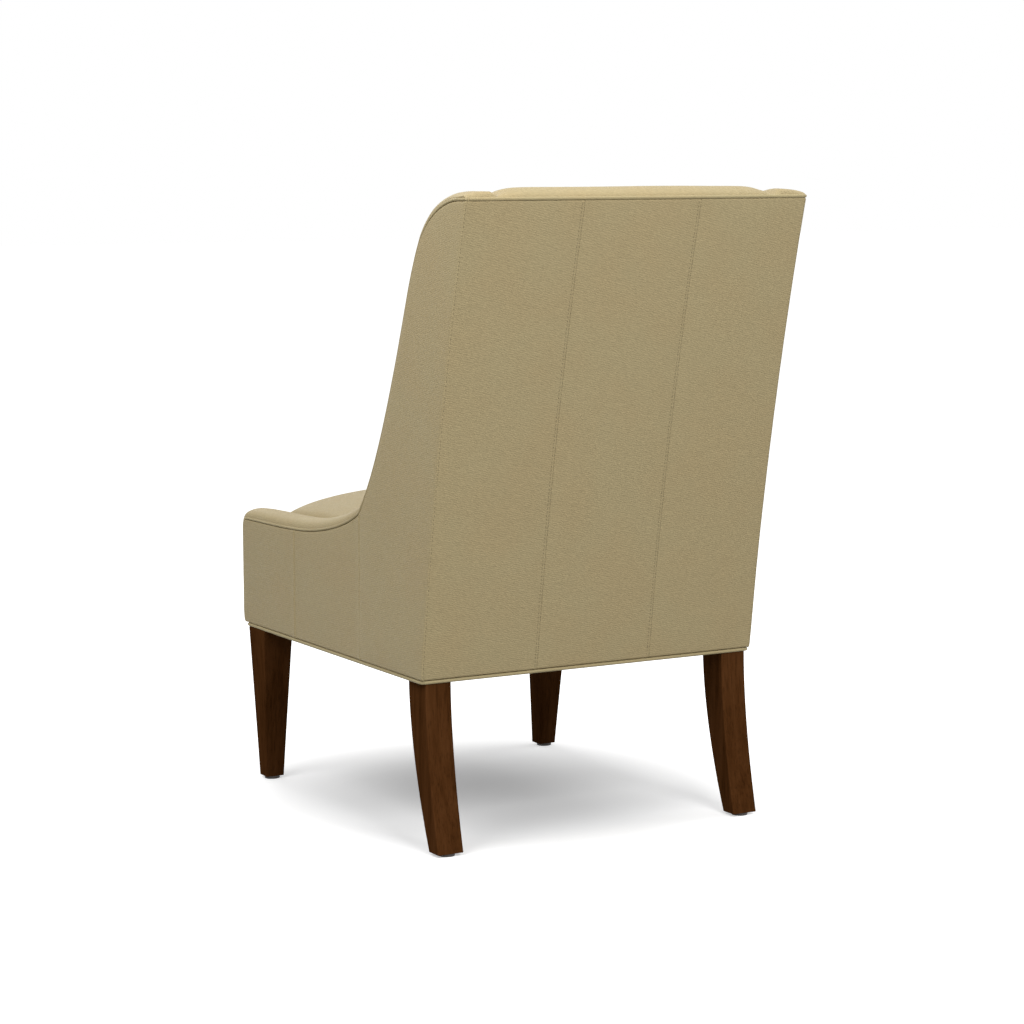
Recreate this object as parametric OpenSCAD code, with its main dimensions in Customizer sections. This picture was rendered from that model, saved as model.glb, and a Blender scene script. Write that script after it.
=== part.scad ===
// Upholstered leather dining chair with low sloping arms, tall wings and dark wood legs.
// +Z is up, the sitter faces -Y and the sitter's left is +X. The origin is on the floor, under
// the centre of the chair's box. Outlines are drawn as [distance behind the front, height].

/* [Overall size] */
// Width over the outside leather
body_w = 602; // [560:1:660]
// Height of the body's underside above the floor
base_h = 264; // [240:1:290]
// Height of the arm's outer edge at the front
arm_h = 450; // [435:1:475]
// Height of the back's rear top edge
back_h = 1000; // [950:1:1060]
// Depth of the base, from the front of the arm's edge to the rear
base_d = 647; // [620:1:690]
// How far the back's top leans past the base
back_lean = 147; // [120:1:170]
// Hollow of the outside back between its top and its base
back_bow = 12.4; // [4:0.2:18]

/* [Side outline] */
// Distance behind the front of the knee, where arm and wing meet
knee_y = 436; // [410:1:460]
// Rise of the arm's edge from the front to the knee
knee_rise = 56.5; // [40:0.5:75]
// Length along the chair of the wing's rounded top corner
corner_run = 188.4; // [160:0.2:210]
// Height of the wing's rounded top corner
corner_drop = 149.6; // [120:0.2:180]

/* [Upholstery] */
// Thickness of arm and wing, from outside leather to inside leather
arm_t = 58; // [52:1:70]
// Height of the arm and wing roll above the side's edge
roll_h = 18.5; // [12:0.5:24]
// How far the padded front stands ahead of the arm's edge
front_puff = 9.7; // [8:0.1:14]
// Thickness of the leather
leather_t = 1.5; // [1:0.1:2]
// Thickness of the batting under the outside leather
batting_t = 3; // [2:0.5:5]
// Diameter of the welts
welt_d = 5.5; // [4:0.5:7]
// Distance behind the front of the side's front seam
side_seam = 197; // [150:1:240]
// Distance of the outside back's seams from the middle
back_seam = 104; // [80:1:130]

/* [Seat and inside back] */
// Height of the seat's crown
seat_h = 500; // [485:1:520]
// Fall of the seat from its crown to the arms
seat_drop = 43; // [25:1:55]
// Depth of the seat from its front face to the inside back
seat_depth = 545; // [520:1:570]
// Lean of the inside back in degrees
inside_lean = 15.5; // [13:0.5:17]
// Height of the back's top roll above its rear edge
top_roll = 18; // [12:0.5:24]
// How far the inside back is drawn in along the wings
back_pull = 10; // [4:1:14]

/* [Frame] */
// Thickness of the plywood side frames
ply_t = 18; // [15:1:21]
// Thickness of the seat and back rails
rail_t = 25; // [20:1:30]
// Height of the seat rails
rail_h = 110; // [95:1:115]
// Height of the back's two cross rails
back_rail_h = 60; // [45:1:70]
// Width and depth of the corner blocks
block_w = 50; // [44:1:58]
// Height of the corner blocks
block_h = 50; // [40:1:56]
// Width of the seat cleats
cleat_w = 20; // [15:1:25]
// Height of the seat cleats
cleat_h = 30; // [20:1:35]
// Width of the seat and back webbing
web_w = 60; // [45:1:65]
// Thickness of the webbing
web_t = 2; // [1.5:0.5:2.5]
// Thickness of the deck cloth and the burlap
cloth_t = 1.5; // [1:0.5:2]
// Thickness of the dust cover
dust_t = 0.8; // [0.6:0.1:1.2]

/* [Legs] */
// Width of the front legs at the top
front_top_w = 51; // [46:1:54]
// Depth of the front legs at the top
front_top_d = 56.7; // [50:0.1:62]
// Width of the front legs at the foot
front_foot_w = 30; // [28:1:40]
// Depth of the front legs at the foot
front_foot_d = 28; // [28:1:40]
// Inset of the front feet from the outside
front_foot_inset = 14; // [8:1:20]
// Distance of the front legs behind the front
front_leg_y = 20.3; // [16:0.1:24]
// Width of the rear legs
rear_leg_w = 44; // [40:1:48]
// Inset of the rear legs from the outside
rear_leg_inset = 8; // [6:1:10]
// Depth of the rear legs at the top
rear_top_d = 56; // [52:1:62]
// Depth of the rear legs at the foot
rear_foot_d = 30; // [28:1:40]
// How far the rear feet stand behind the legs' tops
rear_sweep = 38; // [20:1:50]
// Curve of the rear legs, where 1 is straight
leg_curve = 1.7; // [1:0.1:2.2]

/* [Hardware] */
// Diameter of the leg bolts
bolt_d = 8; // [6:1:10]
// Length of a leg bolt inside its leg
bolt_in_leg = 50; // [35:1:60]
// Diameter of the tee nuts' flanges
tee_flange_d = 20; // [18:1:22]
// Diameter of the dowels
dowel_d = 10; // [8:1:12]
// Length of the dowels
dowel_l = 24; // [20:1:28]
// Diameter of the frame screws
screw_d = 4; // [3:0.5:5]
// Length of a screw's grip past the piece it holds
screw_grip = 12; // [8:1:14]
// Diameter of the glides
glide_d = 26; // [20:1:28]
// Thickness of the glides
glide_t = 4.5; // [4:0.5:6]
// Diameter of the glide nails
nail_d = 3; // [2:0.5:4]
// Length of the glide nails inside the legs
nail_l = 18; // [12:1:25]

/* [Clearances] */
// Gap between soft pieces
soft_gap = 0.3; // [0.2:0.1:0.6]
// Gap round a bolt, dowel or screw
fit_gap = 0.1; // [0.05:0.05:0.2]

/* [Hidden] */
$fn = 32;

leather = [0.68, 0.63, 0.47];
welt_leather = [0.74, 0.69, 0.52];
espresso = [0.24, 0.14, 0.09];
plywood = [0.82, 0.68, 0.48];
hardwood = [0.76, 0.60, 0.40];
foam = [0.93, 0.88, 0.70];
batting = [0.95, 0.95, 0.93];
jute = [0.62, 0.50, 0.34];
black_cloth = [0.10, 0.10, 0.11];
steel = [0.66, 0.67, 0.69];
nylon = [0.16, 0.14, 0.13];

// Planes across the chair, from the outside leather inwards
half_w = body_w / 2;
batting_x = half_w - leather_t;
ply_x = batting_x - batting_t;
frame_x = ply_x - ply_t;
arm_x = half_w - arm_t;
seat_x = arm_x - soft_gap;

// Heights of the base, from the floor upwards
welt_r = welt_d / 2;
hem_z = base_h + welt_d + soft_gap;
rail_z = base_h + rail_h;
cleat_z = rail_z + web_t;
deck_z = cleat_z + web_t;
foam_z = deck_z + cloth_t;

// Lines of the back, and the height where the seat meets it
post_gap = 1;
tuck_drop = 40;
rear_top_y = base_d + back_lean;
rear_skin = leather_t + batting_t + soft_gap;
rear_slope = back_lean / (back_h - base_h);
post_setback = back_bow + rear_skin + post_gap + rail_t;
crease_z = seat_h - tuck_drop;
crease_y = seat_depth - front_puff;
top_rail_z = back_h - 15;
post_top_z = top_rail_z - back_rail_h;
low_rail_z = crease_z - 20;

// Places of the welts, which sit a little below the edge and clear of what is beside them
welt_sink = 0.5;
welt_ease = 0.25;
welt_x = ply_x + welt_r + welt_ease;
panel_inset = welt_r + welt_sink + soft_gap;
ply_inset = panel_inset + 0.4;
back_welt_y = rear_top_y - leather_t;
roll_end_y = back_welt_y - welt_r - soft_gap;

// Front faces of the side frames and of the rails, and the corner blocks' faces on the rails
front_skin_y = -2;
front_rail_y = 6;
rear_gap = 2;
rear_rail_y = base_d - rear_skin - rail_t - rear_gap;
block_front_y = front_rail_y + rail_t;

// Places of the legs and of the hardware
bolt_edge = tee_flange_d / 2 + 1.5;
bolt_x = frame_x - bolt_edge;
front_bolt_y = front_leg_y + front_top_d / 2;
rear_bolt_y = rear_rail_y - bolt_edge;
tee_flange_t = 1.5;
tee_barrel_l = 12;
tee_barrel_d = bolt_d + 3;
bolt_proud = 6;
rear_leg_x = half_w - rear_leg_inset;
rear_leg_y = base_d - rear_gap - rear_top_d;

// Middle of the chair's box from front to rear, which is set on the origin
mid_y = (back_welt_y + welt_r - front_puff) / 2;

function unit(v) = v / norm(v);
function tangent(p, i) = unit(p[min(i + 1, len(p) - 1)] - p[max(i - 1, 0)]);
function normal(p, i) = let (t = tangent(p, i)) [-t.y, t.x];
function offset_path(p, d) = [for (i = [0:len(p) - 1]) p[i] + d * normal(p, i)];
function reverse(p) = [for (i = [len(p) - 1:-1:0]) p[i]];
function tail(p) = [for (i = [1:len(p) - 1]) p[i]];
function bezier(p, n) = [for (i = [0:n]) let (t = i / n, s = 1 - t)
    s * s * s * p[0] + 3 * s * s * t * p[1] + 3 * s * t * t * p[2] + t * t * t * p[3]];
function mix(a, b, t) = a + (b - a) * t;

// Edge of the side, from the arm's front over the knee and the wing to the back's top
dip_y = knee_y / 2;
knee_z = arm_h + knee_rise;
front_arm = [[0, arm_h], [dip_y / 3, arm_h + 0.9], [dip_y * 0.68, arm_h + 1], [dip_y, arm_h + 4.8]];
rear_arm = [
    [dip_y, arm_h + 4.8], [knee_y * 0.66, arm_h + 8.5],
    [knee_y * 0.887, arm_h + knee_rise * 0.48], [knee_y, knee_z]
];
corner_shares = [
    [1, 1], [0.949, 0.824], [0.848, 0.543], [0.777, 0.408],
    [0.636, 0.14], [0.343, -0.007], [0.138, -0.007]
];
corner = [for (c = corner_shares) [rear_top_y - corner_run * c.x, back_h - corner_drop * c.y]];
wing_rise = corner[0] - [knee_y, knee_z];
wing = [
    [knee_y, knee_z], [knee_y + wing_rise.x * 0.409, knee_z + wing_rise.y * 0.228],
    [knee_y + wing_rise.x * 0.792, knee_z + wing_rise.y * 0.723], corner[0]
];
edge = concat(
    bezier(front_arm, 4), tail(bezier(rear_arm, 5)), tail(bezier(wing, 6)),
    tail(bezier([for (i = [0:3]) corner[i]], 3)),
    tail(bezier([for (i = [3:6]) corner[i]], 6))
);

// Rear line of the back, bowed forwards, at the share t of its height
function rear_line(t, inset) = let (chord = unit([back_lean, back_h - base_h]))
    mix([base_d, base_h], [rear_top_y, back_h], t)
    - (inset + 4 * back_bow * t * (1 - t)) * [chord.y, -chord.x];
function rear_share(z) = (z - base_h) / (back_h - base_h);
function rear_path(z0, z1, inset) = [for (i = [0:10])
    rear_line(mix(rear_share(z0), rear_share(z1), i / 10), inset)];

// Front faces of the inside back and of the posts behind its foam
function inside_y(z) = crease_y + (z - crease_z) * tan(inside_lean);
function post_y(z) = base_d + (z - base_h) * rear_slope - post_setback;

// Front edge of the padded side as shares of its puff, at heights over the hem and under the welt
low_front = [[0.38, 0], [0.75, 5], [1, 20]];
high_front = [[1, 14], [0.84, 8.5], [0.5, 5.2]];
function front_edge(inset) = concat(
    [for (p = low_front) [inset - front_puff * p.x, hem_z + p.y]],
    [for (p = high_front) [inset - front_puff * p.x, arm_h - p.y]]
);

module placed() translate([0, -mid_y, 0]) children();
module mirrored() mirror([1, 0, 0]) children();
module pair() {
    children();
    mirrored() children();
}

// Extrudes an outline of [distance, height] points from x0 to x1
module across(x0, x1) translate([x0, 0, 0]) rotate([90, 0, 90]) linear_extrude(x1 - x0) children();

// Joins rings of points into one closed solid, or into a loop without ends
module sweep(rings, loop = false) {
    n = len(rings);
    m = len(rings[0]);
    last = loop ? n - 1 : n - 2;
    sides = [for (i = [0:last], j = [0:m - 1])
        let (k = (j + 1) % m, r = (i + 1) % n)
        each [[i * m + j, i * m + k, r * m + k], [i * m + j, r * m + k, r * m + j]]];
    e = (n - 1) * m;
    ends = [for (j = [0:m / 2 - 2]) each [
        [m - 2 - j, j + 1, j], [m - 1 - j, m - 2 - j, j],
        [e + j, e + j + 1, e + m - 2 - j], [e + j, e + m - 2 - j, e + m - 1 - j]]];
    polyhedron(points = [for (r = rings) each r], faces = loop ? sides : concat(sides, ends));
}

// Frame

// Clear of the base welt at the foot and of the side welt along the edge
nose = [4, 6];
module side_frame_outline() polygon(concat(
    [[front_rail_y, base_h], [front_rail_y, hem_z], [front_skin_y, hem_z]],
    [[front_skin_y, arm_h - ply_inset - nose.y], [front_skin_y + nose.x, arm_h - ply_inset]],
    tail(offset_path(edge, -ply_inset)),
    reverse(rear_path(base_h, back_h - ply_inset, rear_skin))
));

function block_places() = [
    [block_front_y, front_bolt_y, 1],
    [rear_rail_y, rear_bolt_y, -1]
];
// Heights of a pair of dowels in a rail from z0 to z1, a quarter of it from each edge
function dowel_heights(z0, z1) = [mix(z0, z1, 0.25), mix(z0, z1, 0.75)];
function rail_dowels() = [
    for (y = [front_rail_y, rear_rail_y], z = dowel_heights(base_h, rail_z)) [y + rail_t / 2, z],
    for (z = dowel_heights(post_top_z, top_rail_z)) [post_y(z) + rail_t / 2, z]
];
function low_dowels() = [for (z = dowel_heights(low_rail_z, low_rail_z + back_rail_h))
    [post_y(z) + rail_t / 2, z]];
function post_screws() = [for (t = [0.08, 0.4, 0.7, 0.95])
    let (z = mix(rail_z, post_top_z, t)) [post_y(z) + rail_t / 2, z]];
function cleat_screws() = [for (t = [0.1, 0.37, 0.63, 0.9])
    [mix(block_front_y, rear_rail_y, t), cleat_z - cleat_h / 2]];

module dowel(x, p) translate([x, p.x, p.y]) rotate([0, 90, 0])
    cylinder(d = dowel_d, h = dowel_l, center = true);
module dowel_hole(x, p) translate([x, p.x, p.y]) rotate([0, 90, 0])
    cylinder(d = dowel_d + 2 * fit_gap, h = dowel_l + 2 * fit_gap, center = true);

// A screw along +X with its head's underside at the origin
module screw(length) {
    rotate([0, 90, 0]) cylinder(d = screw_d, h = length);
    translate([-screw_d / 2, 0, 0]) rotate([0, 90, 0]) cylinder(d = 2 * screw_d, h = screw_d / 2);
}
module screw_hole(length) translate([-1, 0, 0]) rotate([0, 90, 0])
    cylinder(d = screw_d + 2 * fit_gap, h = length + 1 + fit_gap);

// Heights of the corner blocks' screws as shares of the block, and their distance from its end
side_screws = [0.32, 0.72];
rail_screws = [0.16, 0.54];
screw_edge = 12;
// Puts children at every screw of the left half, pointing along its axis
module at_post_screws() for (p = post_screws()) translate([frame_x - rail_t, p.x, p.y]) children();
module at_cleat_screws() for (p = cleat_screws()) translate([frame_x - cleat_w, p.x, p.y]) children();
module at_side_block_screws() for (b = block_places(), t = side_screws)
    translate([frame_x - block_w, b.x + b.z * (block_w - screw_edge), base_h + t * block_h])
        children();
module at_rail_block_screws() for (b = block_places(), t = rail_screws)
    translate([frame_x - block_w + screw_edge, b.x + b.z * block_w, base_h + t * block_h])
        rotate([0, 0, -90 * b.z]) children();

module side_frame() color(plywood) placed() difference() {
    across(frame_x, ply_x) side_frame_outline();
    for (p = rail_dowels()) dowel_hole(frame_x, p);
    at_post_screws() screw_hole(rail_t + screw_grip);
    at_cleat_screws() screw_hole(cleat_w + screw_grip);
    at_side_block_screws() screw_hole(block_w + screw_grip);
}
module side_frame_left() side_frame();
module side_frame_right() mirrored() side_frame();

module seat_rail(y) difference() {
    translate([-frame_x, y, base_h]) cube([2 * frame_x, rail_t, rail_h]);
    pair() {
        for (p = rail_dowels()) dowel_hole(frame_x, p);
        at_rail_block_screws() screw_hole(block_w + screw_grip);
    }
}
module front_rail() color(hardwood) placed() seat_rail(front_rail_y);
module rear_rail() color(hardwood) placed() seat_rail(rear_rail_y);

module seat_cleat() color(hardwood) placed() difference() {
    translate([frame_x - cleat_w, block_front_y, cleat_z - cleat_h])
        cube([cleat_w, rear_rail_y - block_front_y, cleat_h]);
    at_cleat_screws() screw_hole(cleat_w + screw_grip);
}
module seat_cleat_left() seat_cleat();
module seat_cleat_right() mirrored() seat_cleat();

// Outline of a board whose front face lies on the posts' front line
module back_board(z0, z1, depth, setback) polygon([
    [post_y(z0) + setback, z0], [post_y(z0) + setback + depth, z0],
    [post_y(z1) + setback + depth, z1], [post_y(z1) + setback, z1]
]);

module back_post() color(hardwood) placed() difference() {
    across(frame_x - rail_t, frame_x) back_board(rail_z, post_top_z, rail_t, 0);
    for (p = low_dowels()) dowel_hole(frame_x - rail_t, p);
    at_post_screws() screw_hole(rail_t + screw_grip);
}
module back_post_left() back_post();
module back_post_right() mirrored() back_post();

module lower_back_rail() color(hardwood) placed() difference() {
    across(rail_t - frame_x, frame_x - rail_t)
        back_board(low_rail_z, low_rail_z + back_rail_h, rail_t, 0);
    pair() for (p = low_dowels()) dowel_hole(frame_x - rail_t, p);
}

module top_rail() color(hardwood) placed() difference() {
    across(-frame_x, frame_x) back_board(post_top_z, top_rail_z, rail_t, 0);
    pair() for (p = rail_dowels()) dowel_hole(frame_x, p);
}

module corner_blocks() color(hardwood) placed() pair() difference() {
    for (b = block_places())
        translate([frame_x - block_w, min(b.x, b.x + b.z * block_w), base_h])
            cube([block_w, block_w, block_h]);
    for (b = block_places()) translate([bolt_x, b.y, base_h]) {
        translate([0, 0, -1]) cylinder(d = bolt_d + 2 * fit_gap, h = block_h + 2);
        translate([0, 0, block_h - tee_barrel_l - fit_gap])
            cylinder(d = tee_barrel_d + 2 * fit_gap, h = tee_barrel_l + 1);
    }
    at_side_block_screws() screw_hole(block_w + screw_grip);
    at_rail_block_screws() screw_hole(block_w + screw_grip);
}

module frame_dowels() color(hardwood) placed() pair() {
    for (p = rail_dowels()) dowel(frame_x, p);
    for (p = low_dowels()) dowel(frame_x - rail_t, p);
}

module frame_screws() color(steel) placed() pair() {
    at_post_screws() screw(rail_t + screw_grip);
    at_cleat_screws() screw(cleat_w + screw_grip);
    at_side_block_screws() screw(block_w + screw_grip);
    at_rail_block_screws() screw(block_w + screw_grip);
}

// Suspension

straps = 5;
// Margin left between a strap or cloth and the edge of what it is fixed to
tack = 3;

module seat_straps_lengthwise() color(jute) placed() {
    reach = frame_x - cleat_w - web_w;
    for (i = [0:straps - 1])
        translate([mix(-reach, reach, i / (straps - 1)) - web_w / 2, front_rail_y + tack, rail_z])
            cube([web_w, rear_rail_y - block_front_y + 2 * (rail_t - tack), web_t]);
}
module seat_straps_crosswise() color(jute) placed()
    for (i = [0:straps - 1])
        translate([
            tack - frame_x,
            mix(block_front_y + 5 * tack, rear_rail_y - web_w - 5 * tack, i / (straps - 1)),
            cleat_z
        ]) cube([2 * (frame_x - tack), web_w, web_t]);

module seat_deck() color(jute) placed()
    translate([tack - frame_x, front_rail_y + tack, deck_z])
        cube([2 * (frame_x - tack), rear_rail_y - front_rail_y, cloth_t]);

module back_webbing() color(jute) placed() {
    low = low_rail_z + back_rail_h + 3 * tack;
    high = post_top_z - web_w - 3 * tack;
    for (i = [0:straps - 1]) let (z = mix(low, high, i / (straps - 1)))
        across(tack - frame_x, frame_x - tack) back_board(z, z + web_w, web_t, -web_t);
}

module back_burlap() color(jute) placed()
    across(2 * tack - frame_x, frame_x - 2 * tack)
        back_board(low_rail_z + tack, top_rail_z - tack, cloth_t, -web_t - cloth_t);

// Seat

seat_stations = [-1, -0.95, -0.86, -0.7, -0.48, -0.24, 0, 0.24, 0.48, 0.7, 0.86, 0.95, 1];
back_stations = [-1, -0.96, -0.9, -0.8, -0.5, 0, 0.5, 0.8, 0.9, 0.96, 1];

// Share of the seat's fall at the share e of the half width
function seat_fall(e) = 0.78 * pow(abs(e), 2.4) + 0.22 * pow(abs(e), 12);
function back_draw(e) = back_pull * pow(abs(e), 7);

// Falls of the seat's middle line below its crown: round the front edge, at shares of its
// depth, and at distances before the tuck at the back
seat_nose = [[-front_puff, 75], [-front_puff, 38], [18, 16], [62, 8]];
seat_top = [[0.25, 2.5], [0.42, 0], [0.6, 1], [0.76, 7], [0.89, 17]];
seat_tuck = [[20, tuck_drop - 13], [5, tuck_drop - 2], [0, tuck_drop + 8], [0, tuck_drop + 22]];
// Upper part of that line, from above the front rail to the tuck
function seat_line(rear) = concat(
    [[-front_puff, foam_z + 4]],
    bezier([for (p = seat_nose) [p.x, seat_h - p.y]], 5),
    [for (p = seat_top) [crease_y * p.x, seat_h - p.y]],
    [for (p = seat_tuck) [rear - p.x, seat_h - p.y]]
);
function seat_section(e) = let (fall = 1 - seat_drop / (seat_h - rail_z) * seat_fall(e))
    [for (p = seat_line(crease_y + back_draw(e) - 2 * soft_gap))
        [p.x, rail_z + (p.y - rail_z) * fall]];
seat_front = [for (i = [0:2]) front_edge(0)[i]];

module seat_cover() color(leather) placed() sweep([for (e = seat_stations)
    let (outer = concat(seat_front, seat_section(e)), inner = offset_path(outer, -leather_t))
    [for (p = concat(outer, reverse(inner))) [e * seat_x, p.x, p.y]]]);

module seat_foam() color(foam) placed() sweep([for (e = seat_stations)
    let (outer = offset_path(seat_section(e), -leather_t - soft_gap), n = len(outer) - 1)
    [for (p = concat(outer, [for (j = [n:-1:0]) [mix(outer[0].x, outer[n].x, j / n), foam_z]]))
        [e * (seat_x - leather_t), p.x, p.y]]]);

module front_pad() color(foam) placed() across(leather_t - seat_x, seat_x - leather_t)
    polygon(concat(
        [for (i = [0:2]) front_edge(leather_t + soft_gap)[i]],
        [[leather_t + soft_gap - front_puff, foam_z - soft_gap]],
        [[front_rail_y, foam_z - soft_gap], [front_rail_y, hem_z]]
    ));

// Inside back

face_z = back_h - 45;
brow_z = back_h - 15;
crest = [rear_top_y - 35, back_h + top_roll];
roll_front = [[inside_y(face_z), face_z], [inside_y(brow_z), brow_z], crest - [40, 0], crest];
roll_back = [crest, crest + [16, 0], [roll_end_y - 2, back_h + 10], [roll_end_y, back_h + 1]];
// Middle line of the inside back from the tuck over the crest, with the share drawn in
function back_line() = concat(
    [[inside_y(low_rail_z) + 3, low_rail_z, 0], [inside_y(crease_z), crease_z, 1]],
    [for (t = [0.1, 0.25, 0.45, 0.65, 0.85, 1])
        let (z = mix(crease_z, face_z, t)) [inside_y(z), z, 1]],
    [for (p = tail(bezier(roll_front, 5))) [p.x, p.y, 1]],
    [for (p = tail(bezier(roll_back, 4))) [p.x, p.y, min(1, (roll_end_y - p.x) / 20)]]
);
function back_section(e) = let (line = back_line(), flat = [for (p = line) [p.x, p.y]])
    [for (i = [0:len(line) - 1]) flat[i] - back_draw(e) * line[i].z * normal(flat, i)];

module inside_back_cover() color(leather) placed() sweep([for (e = back_stations)
    let (outer = back_section(e), inner = offset_path(outer, -leather_t))
    [for (p = concat(outer, reverse(inner))) [e * seat_x, p.x, p.y]]]);

// The foam's rear face runs up the burlap and over the top rail
foam_lip = [
    [post_y(top_rail_z) - web_t - cloth_t - soft_gap, top_rail_z + soft_gap],
    [post_y(top_rail_z) + rail_t, top_rail_z + soft_gap]
];
module back_foam() color(foam) placed() sweep([for (e = back_stations)
    let (outer = offset_path(back_section(e), -leather_t - soft_gap), n = len(outer) - 1,
        turn = n - 4,
        rear = [for (j = [0:n]) j > turn
            ? mix(foam_lip[0], foam_lip[1], (j - turn) / (n - turn))
            : let (z = mix(low_rail_z + 6, top_rail_z + soft_gap, j / turn))
                [post_y(z) - web_t - cloth_t - soft_gap, z]])
    [for (p = concat(outer, reverse(rear))) [e * (seat_x - leather_t), p.x, p.y]]]);

// Arms and wings

roll_path = concat([[front_skin_y, arm_h]], edge, [[roll_end_y, back_h + 0.4]]);

// Depth of the roll's inner face below the edge at station i
function skirt(i) = let (p = roll_path[i], n = normal(roll_path, i),
        to_deck = n.y > 0.3 ? (p.y - foam_z - 6) / n.y : back_h,
        to_post = (post_y(p.y) - web_t - cloth_t - 2 * soft_gap - p.x)
            / (n.y * rear_slope - n.x),
        to_rail = (p.y - top_rail_z - 2 * soft_gap) / n.y)
    min(to_deck, max(to_post, to_rail));
// The roll is lower where it rounds over the arm's front, and over the back's top
function swell(i) = lookup(roll_path[i].x, [
    [-2, 0.4], [0, 0.55], [14, 0.78], [60, 1],
    [rear_top_y - corner_run, 1], [rear_top_y - 0.4 * corner_run, 0.62]
]);

// Roll's cross-section as [distance across, height over the edge], from the welt inwards
roll_shares = [
    [0, 0.03], [0.026, 0.35], [0.11, 0.68], [0.25, 0.91],
    [0.457, 1], [0.663, 0.92], [0.84, 0.65], [0.955, 0.2]
];
function roll_section(i) = let (depth = skirt(i), rise = roll_h * swell(i),
        start = welt_x - welt_r - soft_gap, w = start - arm_x, drop = -min(8, depth / 2))
    concat(
        [for (c = roll_shares) [start - w * c.x, rise * c.y]],
        [for (t = [0, 0.35, 0.7, 1]) [arm_x, mix(drop, -depth, t)]]
    );
// The foam wraps over the side frame's edge and runs down its inner face
function roll_core(i) = let (top = soft_gap - ply_inset) concat(
    [for (t = [0:0.25:1]) [mix(ply_x, frame_x, t) - soft_gap, top]],
    [for (j = [1:7]) [frame_x - soft_gap, mix(top, -skirt(i), j / 7)]]
);
function on_path(i, q) = let (p = roll_path[i] + q.y * normal(roll_path, i)) [q.x, p.x, p.y];
function roll_ring(i, outer, inner) = [for (q = concat(outer, reverse(inner))) on_path(i, q)];

module arm_wing_cover() color(leather) placed() sweep([for (i = [0:len(roll_path) - 1])
    let (section = roll_section(i)) roll_ring(i, section, offset_path(section, leather_t))]);
module arm_wing_cover_left() arm_wing_cover();
module arm_wing_cover_right() mirrored() arm_wing_cover();

module arm_wing_foam() color(foam) placed() sweep([for (i = [0:len(roll_path) - 1])
    roll_ring(i, offset_path(roll_section(i), leather_t + soft_gap), roll_core(i))]);
module arm_wing_foam_left() arm_wing_foam();
module arm_wing_foam_right() mirrored() arm_wing_foam();

module arm_front_cover() color(leather) placed()
    across(arm_x, batting_x - soft_gap) polygon(concat(
        front_edge(0), reverse(offset_path(front_edge(0), -leather_t))
    ));
module arm_front_cover_left() arm_front_cover();
module arm_front_cover_right() mirrored() arm_front_cover();

module arm_front_pad() color(foam) placed()
    across(arm_x + soft_gap, ply_x - soft_gap) polygon(concat(
        [[front_skin_y, hem_z + low_front[1].y]],
        [for (i = [1:3]) front_edge(leather_t + soft_gap)[i]],
        [[front_skin_y, arm_h - high_front[0].y]]
    ));
module arm_front_pad_left() arm_front_pad();
module arm_front_pad_right() mirrored() arm_front_pad();

// Outside leather and batting

module skin_outline(front_inset, rear_inset) polygon(concat(
    front_edge(front_inset), offset_path(edge, -panel_inset),
    reverse(rear_path(hem_z, back_h - panel_inset, rear_inset))
));

module side_batting() color(batting) placed() across(ply_x, batting_x)
    skin_outline(leather_t + soft_gap, rear_skin);
module side_batting_left() side_batting();
module side_batting_right() mirrored() side_batting();

rear_seam = knee_y + 3;
module side_panel(from_y, to_y) color(leather) placed() across(batting_x, half_w) intersection() {
    skin_outline(0, 0);
    translate([from_y, 0]) square([to_y - from_y, back_h]);
}
module side_panel_front_left() side_panel(-front_puff, side_seam);
module side_panel_front_right() mirrored() side_panel(-front_puff, side_seam);
module side_panel_middle_left() side_panel(side_seam, rear_seam);
module side_panel_middle_right() mirrored() side_panel(side_seam, rear_seam);
module side_panel_rear_left() side_panel(rear_seam, rear_top_y);
module side_panel_rear_right() mirrored() side_panel(rear_seam, rear_top_y);

module back_sheet(inset, thickness) polygon(concat(
    rear_path(hem_z, back_h - panel_inset, inset),
    reverse(rear_path(hem_z, back_h - panel_inset, inset + thickness))
));
module back_panel(x0, x1) color(leather) placed() across(x0, x1) back_sheet(0, leather_t);
module back_panel_left() back_panel(back_seam, batting_x);
module back_panel_centre() back_panel(-back_seam, back_seam);
module back_panel_right() back_panel(-batting_x, -back_seam);
module back_batting() color(batting) placed()
    across(soft_gap - batting_x, batting_x - soft_gap) back_sheet(leather_t, batting_t);

// Welts

welt_sides = 8;
function welt_ring(at, outward, up) = [for (j = [0:welt_sides - 1])
    let (a = 360 * j / welt_sides) at + welt_r * (cos(a) * outward + sin(a) * up)];

welt_path = concat([[-1, arm_h]], edge, [[rear_top_y, back_h]]);
module side_welt() color(welt_leather) placed() sweep([for (i = [0:len(welt_path) - 1])
    let (n = normal(welt_path, i), p = welt_path[i] - welt_sink * n)
    welt_ring([welt_x, p.x, p.y], [1, 0, 0], [0, n.x, n.y])]);
module side_welt_left() side_welt();
module side_welt_right() mirrored() side_welt();

module back_welt() color(welt_leather) placed()
    translate([0, back_welt_y, back_h - welt_sink]) rotate([0, 90, 0])
        cylinder(d = welt_d, h = 2 * (welt_x - welt_r - soft_gap), center = true);

base_welt_r = 8;
base_corners = let (x = welt_x - base_welt_r,
    y0 = front_rail_y - soft_gap - welt_r + base_welt_r,
    y1 = base_d - rear_skin + welt_r + welt_ease - base_welt_r)
    [[x, y0, -90], [x, y1, 0], [-x, y1, 90], [-x, y0, 180]];
module base_welt() color(welt_leather) placed() sweep([for (c = base_corners, t = [0:30:90])
    let (out = [cos(c.z + t), sin(c.z + t), 0])
    welt_ring([c.x, c.y, base_h + welt_r] + base_welt_r * out, out, [0, 0, 1])], loop = true);

// Legs

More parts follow.
